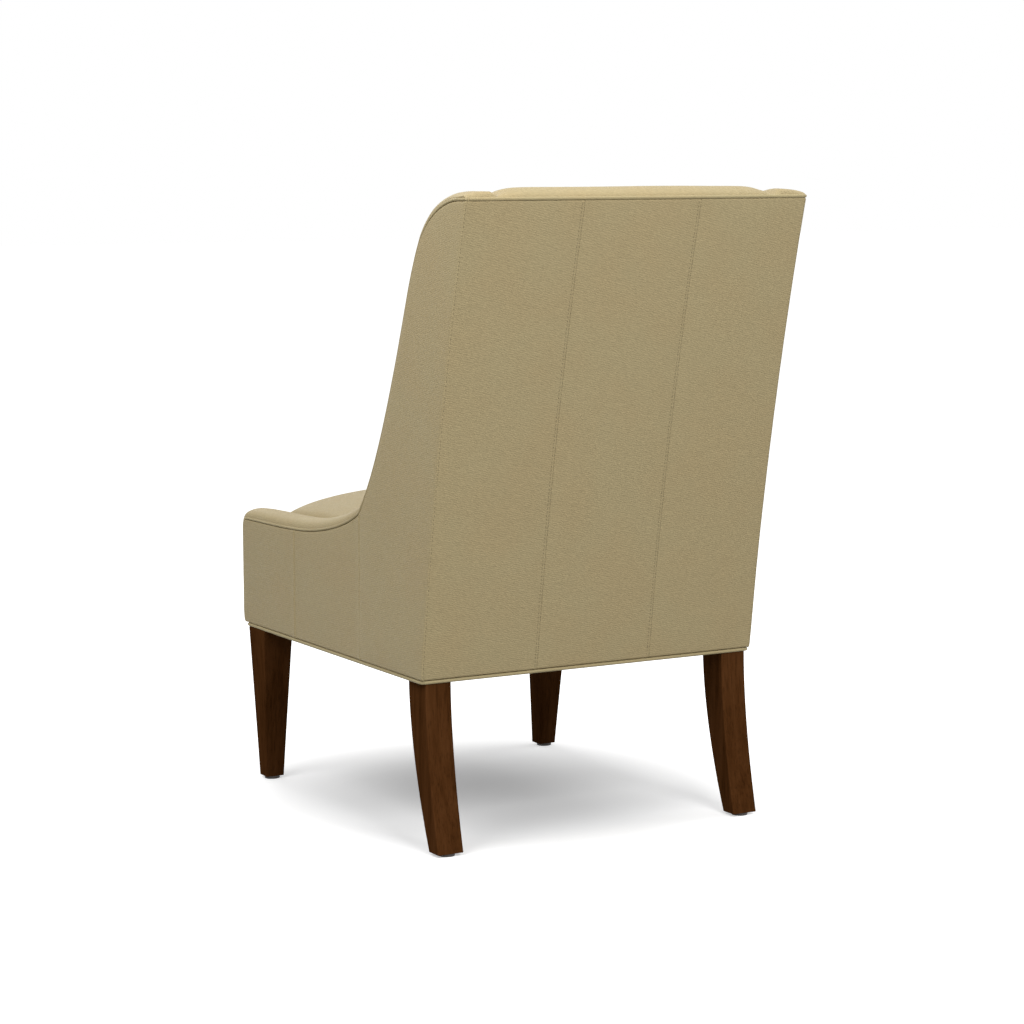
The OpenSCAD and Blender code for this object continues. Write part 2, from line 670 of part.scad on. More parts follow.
front_leg_in = half_w - front_top_w;
front_foot_out = half_w - front_foot_inset;
rear_foot_y = rear_leg_y + rear_top_d + rear_sweep - rear_foot_d;
feet = [
    [front_foot_out - front_foot_w / 2, front_leg_y + front_foot_d / 2],
    [rear_leg_x - rear_leg_w / 2, rear_foot_y + rear_foot_d / 2]
];

module leg_holes(bolt_y, foot) {
    translate([bolt_x, bolt_y, base_h - bolt_in_leg - fit_gap])
        cylinder(d = bolt_d + 2 * fit_gap, h = bolt_in_leg + 1);
    translate([foot.x, foot.y, glide_t - 1])
        cylinder(d = nail_d + 2 * fit_gap, h = nail_l + 1 + fit_gap);
}

module front_leg() color(espresso) placed() difference() {
    intersection() {
        across(front_leg_in - 1, half_w + 1) polygon([
            [front_leg_y, glide_t], [front_leg_y, base_h],
            [front_leg_y + front_top_d, base_h], [front_leg_y + front_foot_d, glide_t]
        ]);
        translate([0, front_leg_y + front_top_d + 1, 0]) rotate([90, 0, 0])
            linear_extrude(front_top_d + 2) polygon([
                [front_foot_out - front_foot_w, glide_t], [front_foot_out, glide_t],
                [half_w, base_h], [front_leg_in, base_h]
            ]);
    }
    leg_holes(front_bolt_y, feet[0]);
}
module leg_front_left() front_leg();
module leg_front_right() mirrored() front_leg();

// Outline of one edge of the sabre leg, from its top down to its foot
function sabre(top, foot) = [for (i = [0:12])
    [mix(top, foot, pow(i / 12, leg_curve)), mix(base_h, glide_t, i / 12)]];
module rear_leg() color(espresso) placed() difference() {
    across(rear_leg_x - rear_leg_w, rear_leg_x) polygon(concat(
        sabre(rear_leg_y, rear_foot_y),
        reverse(sabre(rear_leg_y + rear_top_d, rear_foot_y + rear_foot_d))
    ));
    leg_holes(rear_bolt_y, feet[1]);
}
module leg_rear_left() rear_leg();
module leg_rear_right() mirrored() rear_leg();

// Underside

module dust_cover() color(black_cloth) placed()
    translate([0, 0, base_h - dust_t]) linear_extrude(dust_t) difference() {
        hem = 8;
        translate([hem - ply_x, front_rail_y + hem])
            square([2 * (ply_x - hem), rear_rail_y - block_front_y + 2 * (rail_t - hem)]);
        pair() {
            translate([front_leg_in - 1, 0]) square([front_top_w + 2, front_leg_y + front_top_d + 1]);
            translate([rear_leg_x - rear_leg_w - 1, rear_leg_y - 1])
                square([rear_leg_w + 2, rear_top_d + 2]);
        }
    }

head_d = 2.4 * nail_d;
head_t = 1.2;
head_lift = 0.4;
module glides() color(nylon) placed() pair() for (f = feet) translate([f.x, f.y, 0])
    difference() {
        cylinder(d = glide_d, h = glide_t);
        translate([0, 0, -1]) cylinder(d = head_d + 1, h = 1 + head_lift + head_t);
        cylinder(d = nail_d + 2 * fit_gap, h = glide_t + 1);
    }
module glide_nails() color(steel) placed() pair() for (f = feet)
    translate([f.x, f.y, head_lift]) {
        cylinder(d = head_d, h = head_t - fit_gap);
        cylinder(d = nail_d, h = glide_t + nail_l - head_lift);
    }

bolt_places = [[bolt_x, front_bolt_y], [bolt_x, rear_bolt_y]];
module leg_bolts() color(steel) placed() pair() for (b = bolt_places)
    translate([b.x, b.y, base_h - bolt_in_leg])
        cylinder(d = bolt_d, h = bolt_in_leg + block_h + tee_flange_t + bolt_proud);
module leg_tee_nuts() color(steel) placed() pair() for (b = bolt_places)
    translate([b.x, b.y, base_h + block_h]) difference() {
        union() {
            cylinder(d = tee_flange_d, h = tee_flange_t);
            translate([0, 0, -tee_barrel_l]) cylinder(d = tee_barrel_d, h = tee_barrel_l + 1);
        }
        translate([0, 0, -tee_barrel_l - 1])
            cylinder(d = bolt_d + 2 * fit_gap, h = tee_barrel_l + tee_flange_t + 2);
    }

side_frame_left();
side_frame_right();
front_rail();
rear_rail();
seat_cleat_left();
seat_cleat_right();
back_post_left();
back_post_right();
lower_back_rail();
top_rail();
corner_blocks();
frame_dowels();
frame_screws();
seat_straps_lengthwise();
seat_straps_crosswise();
seat_deck();
back_webbing();
back_burlap();
seat_foam();
front_pad();
back_foam();
arm_wing_foam_left();
arm_wing_foam_right();
arm_front_pad_left();
arm_front_pad_right();
side_batting_left();
side_batting_right();
back_batting();
seat_cover();
inside_back_cover();
arm_wing_cover_left();
arm_wing_cover_right();
arm_front_cover_left();
arm_front_cover_right();
side_panel_front_left();
side_panel_front_right();
side_panel_middle_left();
side_panel_middle_right();
side_panel_rear_left();
side_panel_rear_right();
back_panel_left();
back_panel_centre();
back_panel_right();
side_welt_left();
side_welt_right();
back_welt();
base_welt();
dust_cover();
leg_front_left();
leg_front_right();
leg_rear_left();
leg_rear_right();
glides();
glide_nails();
leg_bolts();
leg_tee_nuts();
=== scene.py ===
"""Looks of the upholstered leather dining chair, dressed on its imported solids.

Outlines are drawn in millimetres as (x, distance behind the arm's front edge, height), and
to_frame() places them in metres in the chair's frame.
"""

import math

import bmesh
import bpy
import numpy as np
from mathutils import Matrix, Vector, noise


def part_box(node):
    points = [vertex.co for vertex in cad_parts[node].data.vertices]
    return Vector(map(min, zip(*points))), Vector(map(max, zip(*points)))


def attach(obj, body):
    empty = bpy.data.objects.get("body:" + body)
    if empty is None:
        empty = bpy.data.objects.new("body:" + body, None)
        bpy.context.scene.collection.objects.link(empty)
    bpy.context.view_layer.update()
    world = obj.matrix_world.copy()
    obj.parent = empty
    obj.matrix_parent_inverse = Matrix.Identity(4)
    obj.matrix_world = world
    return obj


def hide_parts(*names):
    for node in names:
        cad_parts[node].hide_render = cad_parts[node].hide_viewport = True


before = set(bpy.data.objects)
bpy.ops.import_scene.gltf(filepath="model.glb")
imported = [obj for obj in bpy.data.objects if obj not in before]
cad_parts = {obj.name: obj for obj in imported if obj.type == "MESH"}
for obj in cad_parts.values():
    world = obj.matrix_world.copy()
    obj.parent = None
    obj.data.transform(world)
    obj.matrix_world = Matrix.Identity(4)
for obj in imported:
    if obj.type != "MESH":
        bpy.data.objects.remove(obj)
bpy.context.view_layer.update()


# Camera, solved from the photograph: its place, its angles in degrees and its lens in mm
CAMERA_PLACE = Vector((2.2548, 3.9722, 1.0562))
CAMERA_YAW, CAMERA_PITCH, CAMERA_ROLL = (math.radians(a) for a in (150.392, -7.146, -0.141))
CAMERA_LENS = 98.36
CAMERA_SENSOR = 36


def new_object(name, data):
    made = bpy.data.objects.new(name, data)
    bpy.context.scene.collection.objects.link(made)
    return made


def make_camera():
    data = bpy.data.cameras.new("camera")
    data.lens = CAMERA_LENS
    data.sensor_width = CAMERA_SENSOR
    camera = new_object("camera", data)
    camera.matrix_world = (
        Matrix.Translation(CAMERA_PLACE) @ Matrix.Rotation(CAMERA_YAW, 4, "Z")
        @ Matrix.Rotation(math.pi / 2 + CAMERA_PITCH, 4, "X") @ Matrix.Rotation(CAMERA_ROLL, 4, "Z"))
    bpy.context.scene.camera = camera


make_camera()


def box_mm(node):
    low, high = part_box(node)
    return low * 1000, high * 1000


# Sizes in mm. The frame gives the outer ones, and the rest follow the solids and the photograph.
panel_low, panel_high = box_mm("side_panel_rear_left")
base_low, base_high = box_mm("base_welt")
FRONT_PUFF = 9.7
MID_Y = -FRONT_PUFF - box_mm("arm_front_cover_left")[0].y
OUT_X = panel_high.x
BACK_EDGE_X = OUT_X + 0.1
HEM_Z = panel_low.z
BASE_Z = base_low.z
TOP_Z = 1001.5
BASE_D = 647
REAR_TOP_Y = 794
BOW = 12.4
POST_SETBACK = 30.8
ARM_X = 243
LEATHER = 1.5
SIDE_SEAM_Y = 197
REAR_SEAM_Y = 439
LEFT_SEAM_X = 98.5
RIGHT_SEAM_X = -107.8
WELT_R = 2.75
SIDE_WELT_R = 2.2
WELT_X = 299.3
WELT_SINK = -0.3
PANEL_INSET = 2.3
RAIL_Z = 374
SEAT_Z = 500
SEAT_DROP = 37
CREASE_Y = 535.3
CREASE_Z = 460
LEAN = math.tan(math.radians(15.5))
GLIDE_T = 4.5


def to_frame(points):
    return (np.asarray(points, float) - (0, MID_Y, 0)) * 0.001


# Paths and curves in the plane of [distance, height]

def unit(vectors):
    return vectors / np.linalg.norm(vectors, axis=-1, keepdims=True)


def bezier(points, count=60):
    t = np.linspace(0, 1, count)[:, None]
    a, b, c, d = (np.array(p, float) for p in points)
    s = 1 - t
    return s ** 3 * a + 3 * s ** 2 * t * b + 3 * s * t ** 2 * c + t ** 3 * d


def lengths(path):
    gaps = np.linalg.norm(np.diff(path, axis=0), axis=1)
    return np.concatenate([[0], np.cumsum(gaps)])


def at_lengths(path, where):
    along = lengths(path)
    return np.stack([np.interp(where, along, path[:, k]) for k in range(path.shape[1])], 1)


def resample(path, step):
    total = lengths(path)[-1]
    return at_lengths(path, np.linspace(0, total, max(2, round(total / step) + 1)))


def smooth_path(points, step):
    """A curve through the points, by cubic pieces, at even steps of its length."""
    p = np.array(points, float)
    p = np.vstack([2 * p[0] - p[1], p, 2 * p[-1] - p[-2]])
    pieces = []
    for i in range(1, len(p) - 2):
        gap = np.linalg.norm(p[i + 1] - p[i])
        back = (p[i + 1] - p[i - 1]) / (gap + np.linalg.norm(p[i] - p[i - 1])) * gap
        ahead = (p[i + 2] - p[i]) / (gap + np.linalg.norm(p[i + 2] - p[i + 1])) * gap
        pieces.append(bezier((p[i], p[i] + back / 3, p[i + 1] - ahead / 3, p[i + 1]), 20)[:-1])
    return resample(np.vstack(pieces + [p[-2:-1]]), step)


def normals(path, ease=0):
    """Normals to the left of the path, averaged over ease points to each side."""
    t = np.gradient(path, axis=0)
    n = unit(np.stack([-t[:, 1], t[:, 0]], 1))
    if ease:
        window = np.exp(-np.linspace(-2, 2, 2 * ease + 1) ** 2)
        padded = np.pad(n, ((ease, ease), (0, 0)), mode="edge")
        n = unit(np.stack([np.convolve(padded[:, k], window, "valid") for k in range(2)], 1))
    return n


def lookup(value, table):
    keys, values = zip(*table)
    return np.interp(value, keys, values)


def stations(length, step):
    """Places along a length, closer together near both ends."""
    ends = [place for place in (0, 0.5, 1.1, 1.9, 3, 4.5, 6.5, 9.5) if place < length / 2]
    count = max(2, round((length - 2 * ends[-1]) / step) + 1)
    middle = np.linspace(ends[-1], length - ends[-1], count)[1:-1]
    return np.concatenate([ends, middle, length - np.array(ends[::-1])])


# Edge of a side, from the arm's front over the knee and the wing to the back's top
EDGE_POINTS = (
    (0, 450), (72.7, 450.9), (148.2, 451), (218, 454.8), (287.8, 458.5), (386.7, 477.1),
    (436, 506.5), (505.4, 584.9), (570.3, 755.1), (605.6, 850.4), (615.2, 876.7),
    (634.2, 918.8), (647.6, 939), (674.2, 979.1), (729.4, 1001), (768, 1001))
EDGE = np.vstack([EDGE_POINTS[:1], *(bezier(EDGE_POINTS[k:k + 4])[1:] for k in range(0, 15, 3)),
                  (REAR_TOP_Y, TOP_Z)])
FRONT_EDGE = np.array([
    (-0.38, HEM_Z), (-0.75, HEM_Z + 5), (-0.93, HEM_Z + 12), (-1, HEM_Z + 22), (-1, 436),
    (-0.93, 441), (-0.7, 444.6), (-0.3, 446.6)]) * (FRONT_PUFF, 1)
FRONT_FACE = [(-3.7, HEM_Z), (-7.3, HEM_Z + 5), (-9.2, HEM_Z + 13), (-FRONT_PUFF, HEM_Z + 24),
              (-FRONT_PUFF, 350), (-FRONT_PUFF, 400)]
BACK_FOOT, BACK_TOP = np.array([(BASE_D, BASE_Z), (REAR_TOP_Y, TOP_Z)])
BACK_OUT = unit(BACK_TOP - BACK_FOOT)[::-1] * (1, -1)


def rear_line(z):
    """Outside back's line at a height, bowed forwards."""
    t = (np.asarray(z, float)[..., None] - BASE_Z) / (TOP_Z - BASE_Z)
    return BACK_FOOT + t * (BACK_TOP - BACK_FOOT) - 4 * BOW * t * (1 - t) * BACK_OUT


def side_welt_x(y):
    """Middle of a side welt, which sits a little further in along the wing's straight part."""
    return WELT_X + lookup(y, ((430, 0), (470, -0.6), (650, -0.6), (700, 0), (785, 0.3)))


def inside_y(z):
    """Face of the inside back at a height."""
    return CREASE_Y + (z - CREASE_Z) * LEAN


def post_y(z):
    """Front of the back posts at a height."""
    return BASE_D + (z - BASE_Z) * (REAR_TOP_Y - BASE_D) / (TOP_Z - BASE_Z) - BOW - POST_SETBACK


# Meshes

def ripple(points, size, seed):
    """Smooth noise from -1 to 1 at points in mm, with waves of about size mm."""
    flat = points.reshape(-1, 3) / size + seed * 7.31
    return np.array([noise.noise(Vector(p)) for p in flat]).reshape(points.shape[:-1])


def add_piece(name, points, faces, material, slot, nodes=()):
    mesh = bpy.data.meshes.new(name)
    mesh.from_pydata(to_frame(points).reshape(-1, 3).tolist(), [], faces)
    shell = bmesh.new()
    shell.from_mesh(mesh)
    bmesh.ops.delete(shell, geom=[v for v in shell.verts if not v.link_faces], context="VERTS")
    bmesh.ops.recalc_face_normals(shell, faces=shell.faces)
    shell.to_mesh(mesh)
    shell.free()
    mesh.shade_smooth()
    mesh.materials.append(material)
    piece = new_object(name, mesh)
    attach(piece, "root")
    if nodes:
        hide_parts(*nodes)
    return piece


def add_pair(name, shape, faces, material, slot, nodes):
    """A piece and its mirror image, named by the braces. The function shape(mirror) gives their
    points before the second is mirrored."""
    pair = []
    for mirror, hand in ((False, "left"), (True, "right")):
        points = shape(mirror) * (-1, 1, 1) if mirror else shape(mirror)
        pair.append(add_piece(name.format(hand), points, faces, material, slot,
                              [node.format(hand) for node in nodes]))
    return pair


def ring_faces(rows, columns, closed=False, capped=True):
    """Faces between rings of points, each ring joined round. A cap zips a ring's two halves."""
    faces = []
    for i in range(rows if closed else rows - 1):
        a, b = i * columns, (i + 1) % rows * columns
        for j in range(columns):
            k = (j + 1) % columns
            faces.append((a + j, a + k, b + k, b + j))
    if capped and not closed:
        for a in (0, (rows - 1) * columns):
            for j in range(columns // 2 - 1):
                faces.append((a + j, a + j + 1, a + columns - 2 - j, a + columns - 1 - j))
    return faces


def bar_faces(rows, columns):
    """Faces between rings of points, with one flat face at each end."""
    total = rows * columns
    return ring_faces(rows, columns, capped=False) + [
        tuple(range(columns)), tuple(range(total - 1, total - columns - 1, -1))]


def slab_faces(rows, columns, kept=lambda i, j: True):
    """Faces of two like grids of points, one after the other, joined round the kept cells."""
    total = rows * columns
    faces, edges = [], {}
    for i in range(rows - 1):
        for j in range(columns - 1):
            if kept(i, j):
                a = i * columns + j
                quad = (a, a + 1, a + columns + 1, a + columns)
                faces += [quad, tuple(total + k for k in reversed(quad))]
                edges.update(dict.fromkeys(zip(quad, quad[1:] + quad[:1])))
    return faces + [(p, q, total + q, total + p) for p, q in edges if (q, p) not in edges]


def slab(outer, inner):
    return np.concatenate([outer.reshape(-1, 3), inner.reshape(-1, 3)])


def joined(parts, faces_of):
    """Points and faces of several meshes of rings, one after the other."""
    faces, start = [], 0
    for rings in parts:
        faces += [tuple(start + k for k in face) for face in faces_of(*rings.shape[:2])]
        start += rings.shape[0] * rings.shape[1]
    return np.concatenate([rings.reshape(-1, 3) for rings in parts]), faces


def tube(path, radius, closed=False, reference=(1, 0, 0)):
    """Rings round a path in space. The reference leans the rings, square to the path."""
    t = np.roll(path, -1, 0) - np.roll(path, 1, 0) if closed else np.gradient(path, axis=0)
    t = unit(t)
    side = unit(reference - t * (t @ reference)[:, None])
    up = np.cross(t, side)
    angles = np.arange(14) * 2 * math.pi / 14
    return np.stack([
        path + radius[:, None] * (math.cos(a) * side + math.sin(a) * up) for a in angles], 1)


def quarter(distance, radius):
    """Quarter-round fall, from 1 at the edge to 0 at the radius from it."""
    t = np.clip(np.asarray(distance, float) / radius, 0, 1)
    return 1 - np.sqrt(np.clip(1 - (1 - t) ** 2, 0, 1))


# Materials

def set_inputs(node, inputs):
    """Links sockets to a node's inputs, and sets the inputs that are given as values."""
    for key, value in inputs.items():
        if isinstance(value, bpy.types.NodeSocket):
            value.id_data.links.new(value, node.inputs[key])
        else:
            node.inputs[key].default_value = value
    return node


def add_node(kind, inputs, tree=None, **settings):
    """A shader node in the tree that its first input comes from."""
    tree = tree or next(iter(inputs.values())).id_data
    node = tree.nodes.new("ShaderNode" + kind)
    for key, value in settings.items():
        setattr(node, key, value)
    return set_inputs(node, inputs)


def object_place(tree):
    return tree.nodes.new("ShaderNodeTexCoord").outputs["Object"]


def make_material(name, roughness, build):
    """A material whose build function gives its shader's inputs, from the place on the piece."""
    material = bpy.data.materials.new(name)
    material.use_nodes = True
    shader = material.node_tree.nodes["Principled BSDF"]
    shader.inputs["Roughness"].default_value = roughness
    set_inputs(shader, build(object_place(material.node_tree)))
    return material


def stretched(place, scale):
    return add_node("Mapping", {"Vector": place, "Scale": scale}).outputs[0]


def noise_texture(place, scale, detail=2.0, rough=0.5):
    return add_node("TexNoise", {
        "Vector": place, "Scale": scale, "Detail": detail, "Roughness": rough}).outputs["Fac"]


def wave_texture(place, pitch, axis, distortion, detail=1.0, detail_scale=1.0):
    """Bands square to an axis, pitch metres apart."""
    return add_node("TexWave", {
        "Vector": place, "Scale": math.pi / (10 * pitch), "Distortion": distortion,
        "Detail": detail, "Detail Scale": detail_scale}, bands_direction=axis).outputs["Fac"]


def ramp(fac, *stops):
    node = add_node("ValToRGB", {"Fac": fac})
    elements = node.color_ramp.elements
    while len(elements) < len(stops):
        elements.new(0.5)
    for element, (position, colour) in zip(elements, stops):
        element.position = position
        element.color = (*colour, 1)
    return node.outputs["Color"]


def remap(value, source, target=(0.0, 1.0), **settings):
    """A value carried from one range to another, and held within it."""
    return add_node("MapRange", dict(enumerate((value, *source, *target))), **settings).outputs[0]


def spread(fac, low, high):
    """Noise from low to high."""
    return remap(fac, (0.3, 0.7), (low, high))


def tint(colour, factor):
    """Colour times a factor."""
    return add_node("VectorMath", {0: colour, 3: factor}, operation="SCALE").outputs["Vector"]


def vector_math(kind, *values):
    return add_node("VectorMath", dict(enumerate(values)), operation=kind).outputs[0]


def plus(a, b, kind="ADD"):
    return add_node("Math", {0: a, 1: b}, operation=kind).outputs["Value"]


def times(a, b):
    return plus(a, b, "MULTIPLY")


def bump(height, distance, strength):
    return add_node("Bump", {
        "Height": height, "Distance": distance, "Strength": strength}).outputs["Normal"]


GRAIN_PITCH = 0.003
GRAIN_SLANT = math.radians(25)
ROW_TILT = (math.radians(-14), math.radians(13), 0)


def leather(name, warm, cool, grain=1.0):
    """Grained leather: small pebbles, with slanting rows of short dashes on its upright faces, and
    painted shade darkening the pebbles' gullies.
    """
    def build(place):
        waver = noise_texture(place, 190.0).node.outputs["Color"]
        bent = vector_math("ADD", place, tint(waver, 0.002))
        slant = add_node("VectorRotate", {"Vector": bent, "Angle": GRAIN_SLANT},
                         rotation_type="Y_AXIS").outputs[0]
        dashes = remap(noise_texture(stretched(slant, (190.0, 230.0, 620.0)), 1.0, 1.0), (0.38, 0.62))
        pebbles = add_node("TexVoronoi", {
            "Vector": stretched(slant, (0.62, 0.7, 1.0)), "Scale": 480.0, "Randomness": 0.9},
            feature="DISTANCE_TO_EDGE").outputs["Distance"]
        gully = remap(pebbles, (0.0, 0.2))
        tilted = add_node("Mapping", {"Vector": bent, "Rotation": ROW_TILT}).outputs[0]
        rows = wave_texture(tilted, GRAIN_PITCH, "Z", 4.0, 1.5, 2.2)
        facing = place.id_data.nodes.new("ShaderNodeNewGeometry").outputs["Normal"]
        level = add_node("SeparateXYZ", {0: vector_math("ABSOLUTE", facing)}).outputs["Z"]
        rows = times(plus(rows, -0.5), remap(level, (0.3, 0.85), (1.0, 0.0)))
        hues = noise_texture(place, 11.0, 3.0)
        shade = plus(spread(hues, 0.992, 1.008), remap(dashes, (0.0, 1.0), (-0.05 * grain, 0.05 * grain)))
        shade = plus(shade, times(rows, 0.18 * grain))
        # Painted shade: the colour darkens in the pebbles' gullies, where shadow would fall.
        shade = plus(shade, remap(gully, (0.0, 1.0), (-0.05 * grain, 0.01 * grain)))
        relief = plus(plus(times(gully, 0.4), dashes), times(rows, 0.5))
        return {"Base Color": tint(ramp(hues, (0.36, warm), (0.64, cool)), shade),
                "Roughness": spread(noise_texture(place, 120.0), 0.46, 0.55),
                "Normal": bump(relief, 0.00016 * grain, 0.9), "Specular IOR Level": 0.11}
    return make_material(name, 0.5, build)


WOOD_GRAIN = np.array((60.0, 60.0, 3.2))
PLY_PITCH = math.pi / 880


def wood(name, dark, mid, light, roughness, pores, knots=0.0, shine=0.3):
    """Straight upright grain, with pores and faint figure."""
    def build(place):
        sway = noise_texture(stretched(place, WOOD_GRAIN * 0.16), 1.0)
        sway = add_node("CombineXYZ", {"X": sway, "Y": sway, "Z": sway}).outputs[0]
        lean = vector_math("ADD", stretched(place, WOOD_GRAIN), tint(sway, 3.0))
        grain = noise_texture(lean, 1.0, 6.0, 0.62)
        fine = noise_texture(stretched(place, WOOD_GRAIN * 8), 1.0, 3.0, 0.6)
        tone = plus(times(grain, 0.78), times(fine, 0.22))
        streak = remap(fine, (0.36, 0.46), (1 - 0.45 * pores, 1.0))
        if knots:
            spots = add_node("TexVoronoi", {
                "Vector": stretched(place, (13.0, 13.0, 5.0)), "Scale": 1.0}).outputs["Distance"]
            streak = times(streak, remap(spots, (0.02, 0.13), (1 - knots, 1.0)))
        return {"Base Color": tint(ramp(tone, (0.34, dark), (0.5, mid), (0.66, light)), streak),
                "Roughness": spread(grain, roughness - 0.05, roughness + 0.06),
                "Normal": bump(plus(streak, times(fine, 0.3)), 0.00012, 0.5),
                "Specular IOR Level": shine}
    return make_material(name, roughness, build)


def plies(name, light, dark):
    """Plywood: wood grain on the faces and five thin layers through the thickness."""
    def build(place):
        grain = noise_texture(stretched(place, (40.0, 50.0, 4.0)), 1.0, 5.0, 0.6)
        tone = plus(times(grain, 0.75), times(wave_texture(place, PLY_PITCH, "X", 0.3), 0.25))
        return {"Base Color": ramp(tone, (0.3, dark), (0.7, light)), "Normal": bump(grain, 0.0001, 0.4)}
    return make_material(name, 0.6, build)


def woven(name, light, dark, pitch):
    """Cloth or webbing of crossing threads, pitch metres apart, with slubs."""
    def build(place):
        weave = times(*(wave_texture(place, pitch, axis, 0.5) for axis in "XY"))
        tone = plus(times(weave, 0.6), times(noise_texture(place, 0.25 / pitch, 3.0), 0.4))
        return {"Base Color": ramp(tone, (0.15, dark), (0.6, light)),
                "Normal": bump(weave, 0.0004, 0.8), "Specular IOR Level": 0.2}
    return make_material(name, 0.85, build)


def speckled(name, light, dark, roughness, scale, metallic=0.0):
    """Thread, moulded plastic or plated steel, with fine speckle."""
    def build(place):
        speck = noise_texture(place, scale, 4.0, 0.65)
        return {"Base Color": ramp(speck, (0.35, dark), (0.65, light)),
                "Roughness": spread(speck, roughness - 0.06, roughness + 0.06),
                "Normal": bump(speck, 0.00008, 0.5), "Metallic": metallic}
    return make_material(name, roughness, build)


hide = leather("leather", (0.395, 0.3145, 0.1715), (0.388, 0.317, 0.1755))
welt_hide = leather("welt_leather", (0.385, 0.312, 0.170), (0.378, 0.315, 0.174), grain=0.6)
thread = speckled("thread", (0.22, 0.18, 0.1), (0.16, 0.13, 0.07), 0.6, 2500.0)
dark_thread = speckled("dark_thread", (0.2, 0.16, 0.085), (0.15, 0.12, 0.06), 0.6, 2500.0)
espresso = wood("espresso_wood", (0.0455, 0.016, 0.0042), (0.071, 0.0262, 0.0077),
                (0.091, 0.0352, 0.0115), 0.55, 0.45, knots=0.35, shine=0.0)
raw_wood = wood("raw_hardwood", (0.36, 0.23, 0.12), (0.52, 0.36, 0.2), (0.62, 0.45, 0.27), 0.6, 0.4)
plywood = plies("plywood", (0.64, 0.48, 0.29), (0.48, 0.33, 0.18))
jute = woven("jute_webbing", (0.36, 0.27, 0.15), (0.16, 0.11, 0.06), 0.0022)
burlap = woven("deck_cloth", (0.42, 0.33, 0.2), (0.2, 0.15, 0.08), 0.0012)
black_cloth = woven("black_cloth", (0.03, 0.03, 0.032), (0.012, 0.012, 0.013), 0.0008)
nylon = speckled("moulded_nylon", (0.055, 0.045, 0.04), (0.04, 0.032, 0.028), 0.45, 900.0)
steel = speckled("zinc_steel", (0.6, 0.6, 0.62), (0.5, 0.5, 0.52), 0.32, 700.0, metallic=1.0)


# Outside leather. Its panels roll under at their edges, each by a (radius, depth) in mm.
WELT_ROLL = (3.2, 2.6)
TUCK_ROLL = (2.4, 0.7)
LIP_ROLL = (3.2, 1.1)
BACK_ROLL = (1.5, 0.45)
BACK_CORNER_ROLL = (1.6, 0.8)
FRONT_ROLL = (2.4, 0.9)
TUCK = 2.2


def patch(bottom, top, left, right, step=9):
    """Grid between four edges, closer near them, and its distances in mm from each edge."""
    across = stations((lengths(bottom)[-1] + lengths(top)[-1]) / 2, step)
    upward = stations((lengths(left)[-1] + lengths(right)[-1]) / 2, step)
    u, v = across / across[-1], upward / upward[-1]
    b, t = (at_lengths(edge, u * lengths(edge)[-1]) for edge in (bottom, top))
    l, r = (at_lengths(edge, v * lengths(edge)[-1]) for edge in (left, right))
    u, v = u[None, :, None], v[:, None, None]
    grid = (1 - v) * b[None] + v * t[None] + (1 - u) * l[:, None] + u * r[:, None]
    grid -= (1 - u) * (1 - v) * b[0] + u * (1 - v) * b[-1] + (1 - u) * v * t[0] + u * v * t[-1]
    away = [np.linalg.norm(grid - edge, axis=2) for edge in (
        grid[:1], grid[-1:], grid[:, :1], grid[:, -1:])]
    return grid, away


def panel_height(points, away, rolls, puff, seed):
    """How far a stretched panel stands out: puffed in its middle and rolled under at its edges."""
    height = puff * np.prod([1 - np.exp(-d / 26) for d in away], axis=0)
    height += 0.35 * ripple(points, 95, seed) * np.prod([1 - np.exp(-d / 15) for d in away], 0)
    near = np.exp(-np.min(away, axis=0) / 9)
    height += 0.22 * near * ripple(points, 11, seed + 3)
    for d, (radius, depth) in zip(away, rolls):
        height -= depth * quarter(d, radius)
    return height


def side_outline(y0, y1):
    """Four edges of the side's leather from y0 to y1, as paths of [distance, height]."""
    edge = EDGE - PANEL_INSET * normals(EDGE, 3)
    left, right = (np.array([(y, HEM_Z), (y, np.interp(y, *edge.T))]) for y in (y0, y1))
    room = 0.01
    if y0 < 0:
        left = FRONT_EDGE
    if y1 == REAR_TOP_Y:
        right = rear_line(np.linspace(HEM_Z, TOP_Z - PANEL_INSET, 60))
        room = 1
    kept = edge[(edge[:, 0] > left[-1, 0] + 0.01) & (edge[:, 0] < right[-1, 0] - room)]
    return np.array([left[0], right[0]]), np.vstack([left[-1], kept, right[-1]]), left, right


def side_panel(name, y0, y1, rolls, puff, seed, extra=()):
    """One panel on each side, between two seams or an end. The rolls are its front and rear
    edges'. The rearmost panel has one roll only, and turns the corner to the back."""
    grid, away = patch(*side_outline(y0, y1))
    flat = np.concatenate([np.full(grid.shape[:2] + (1,), OUT_X), grid], 2)

    def shape(mirror):
        height = panel_height(flat, away, (WELT_ROLL, WELT_ROLL, *rolls), puff, seed + 40 * mirror)
        if len(rolls) == 1:
            height += 0.7 * (1 - np.exp(-away[2] / 10)) - 0.6 * quarter(away[3], 9)
            height += 0.9 * np.exp(-((grid[..., 1] - 290) / 90) ** 2) * (1 - np.exp(-away[0] / 8))
        else:
            height += 1.1 * np.exp(-(away[3] / 9) ** 2)
        if y0 < 0:
            height += 0.8 * np.exp(-away[2] / 30)
        outer, inner = flat.copy(), flat.copy()
        outer[..., 0] += height
        inner[..., 0] = OUT_X - 2 * LEATHER
        return slab(outer, inner)

    add_pair(name + "_{}_leather", shape, slab_faces(*grid.shape[:2]), hide, "leather",
             [node + "_{}" for node in (name, *extra)])


side_panel("side_panel_front", -FRONT_PUFF, SIDE_SEAM_Y, (FRONT_ROLL, LIP_ROLL), 1.6, 1)
side_panel("side_panel_middle", SIDE_SEAM_Y - TUCK, REAR_SEAM_Y, (TUCK_ROLL, LIP_ROLL), 1.3, 2)
side_panel("side_panel_rear", REAR_SEAM_Y - TUCK, REAR_TOP_Y, (TUCK_ROLL,), 1.6, 3, ("side_batting",))


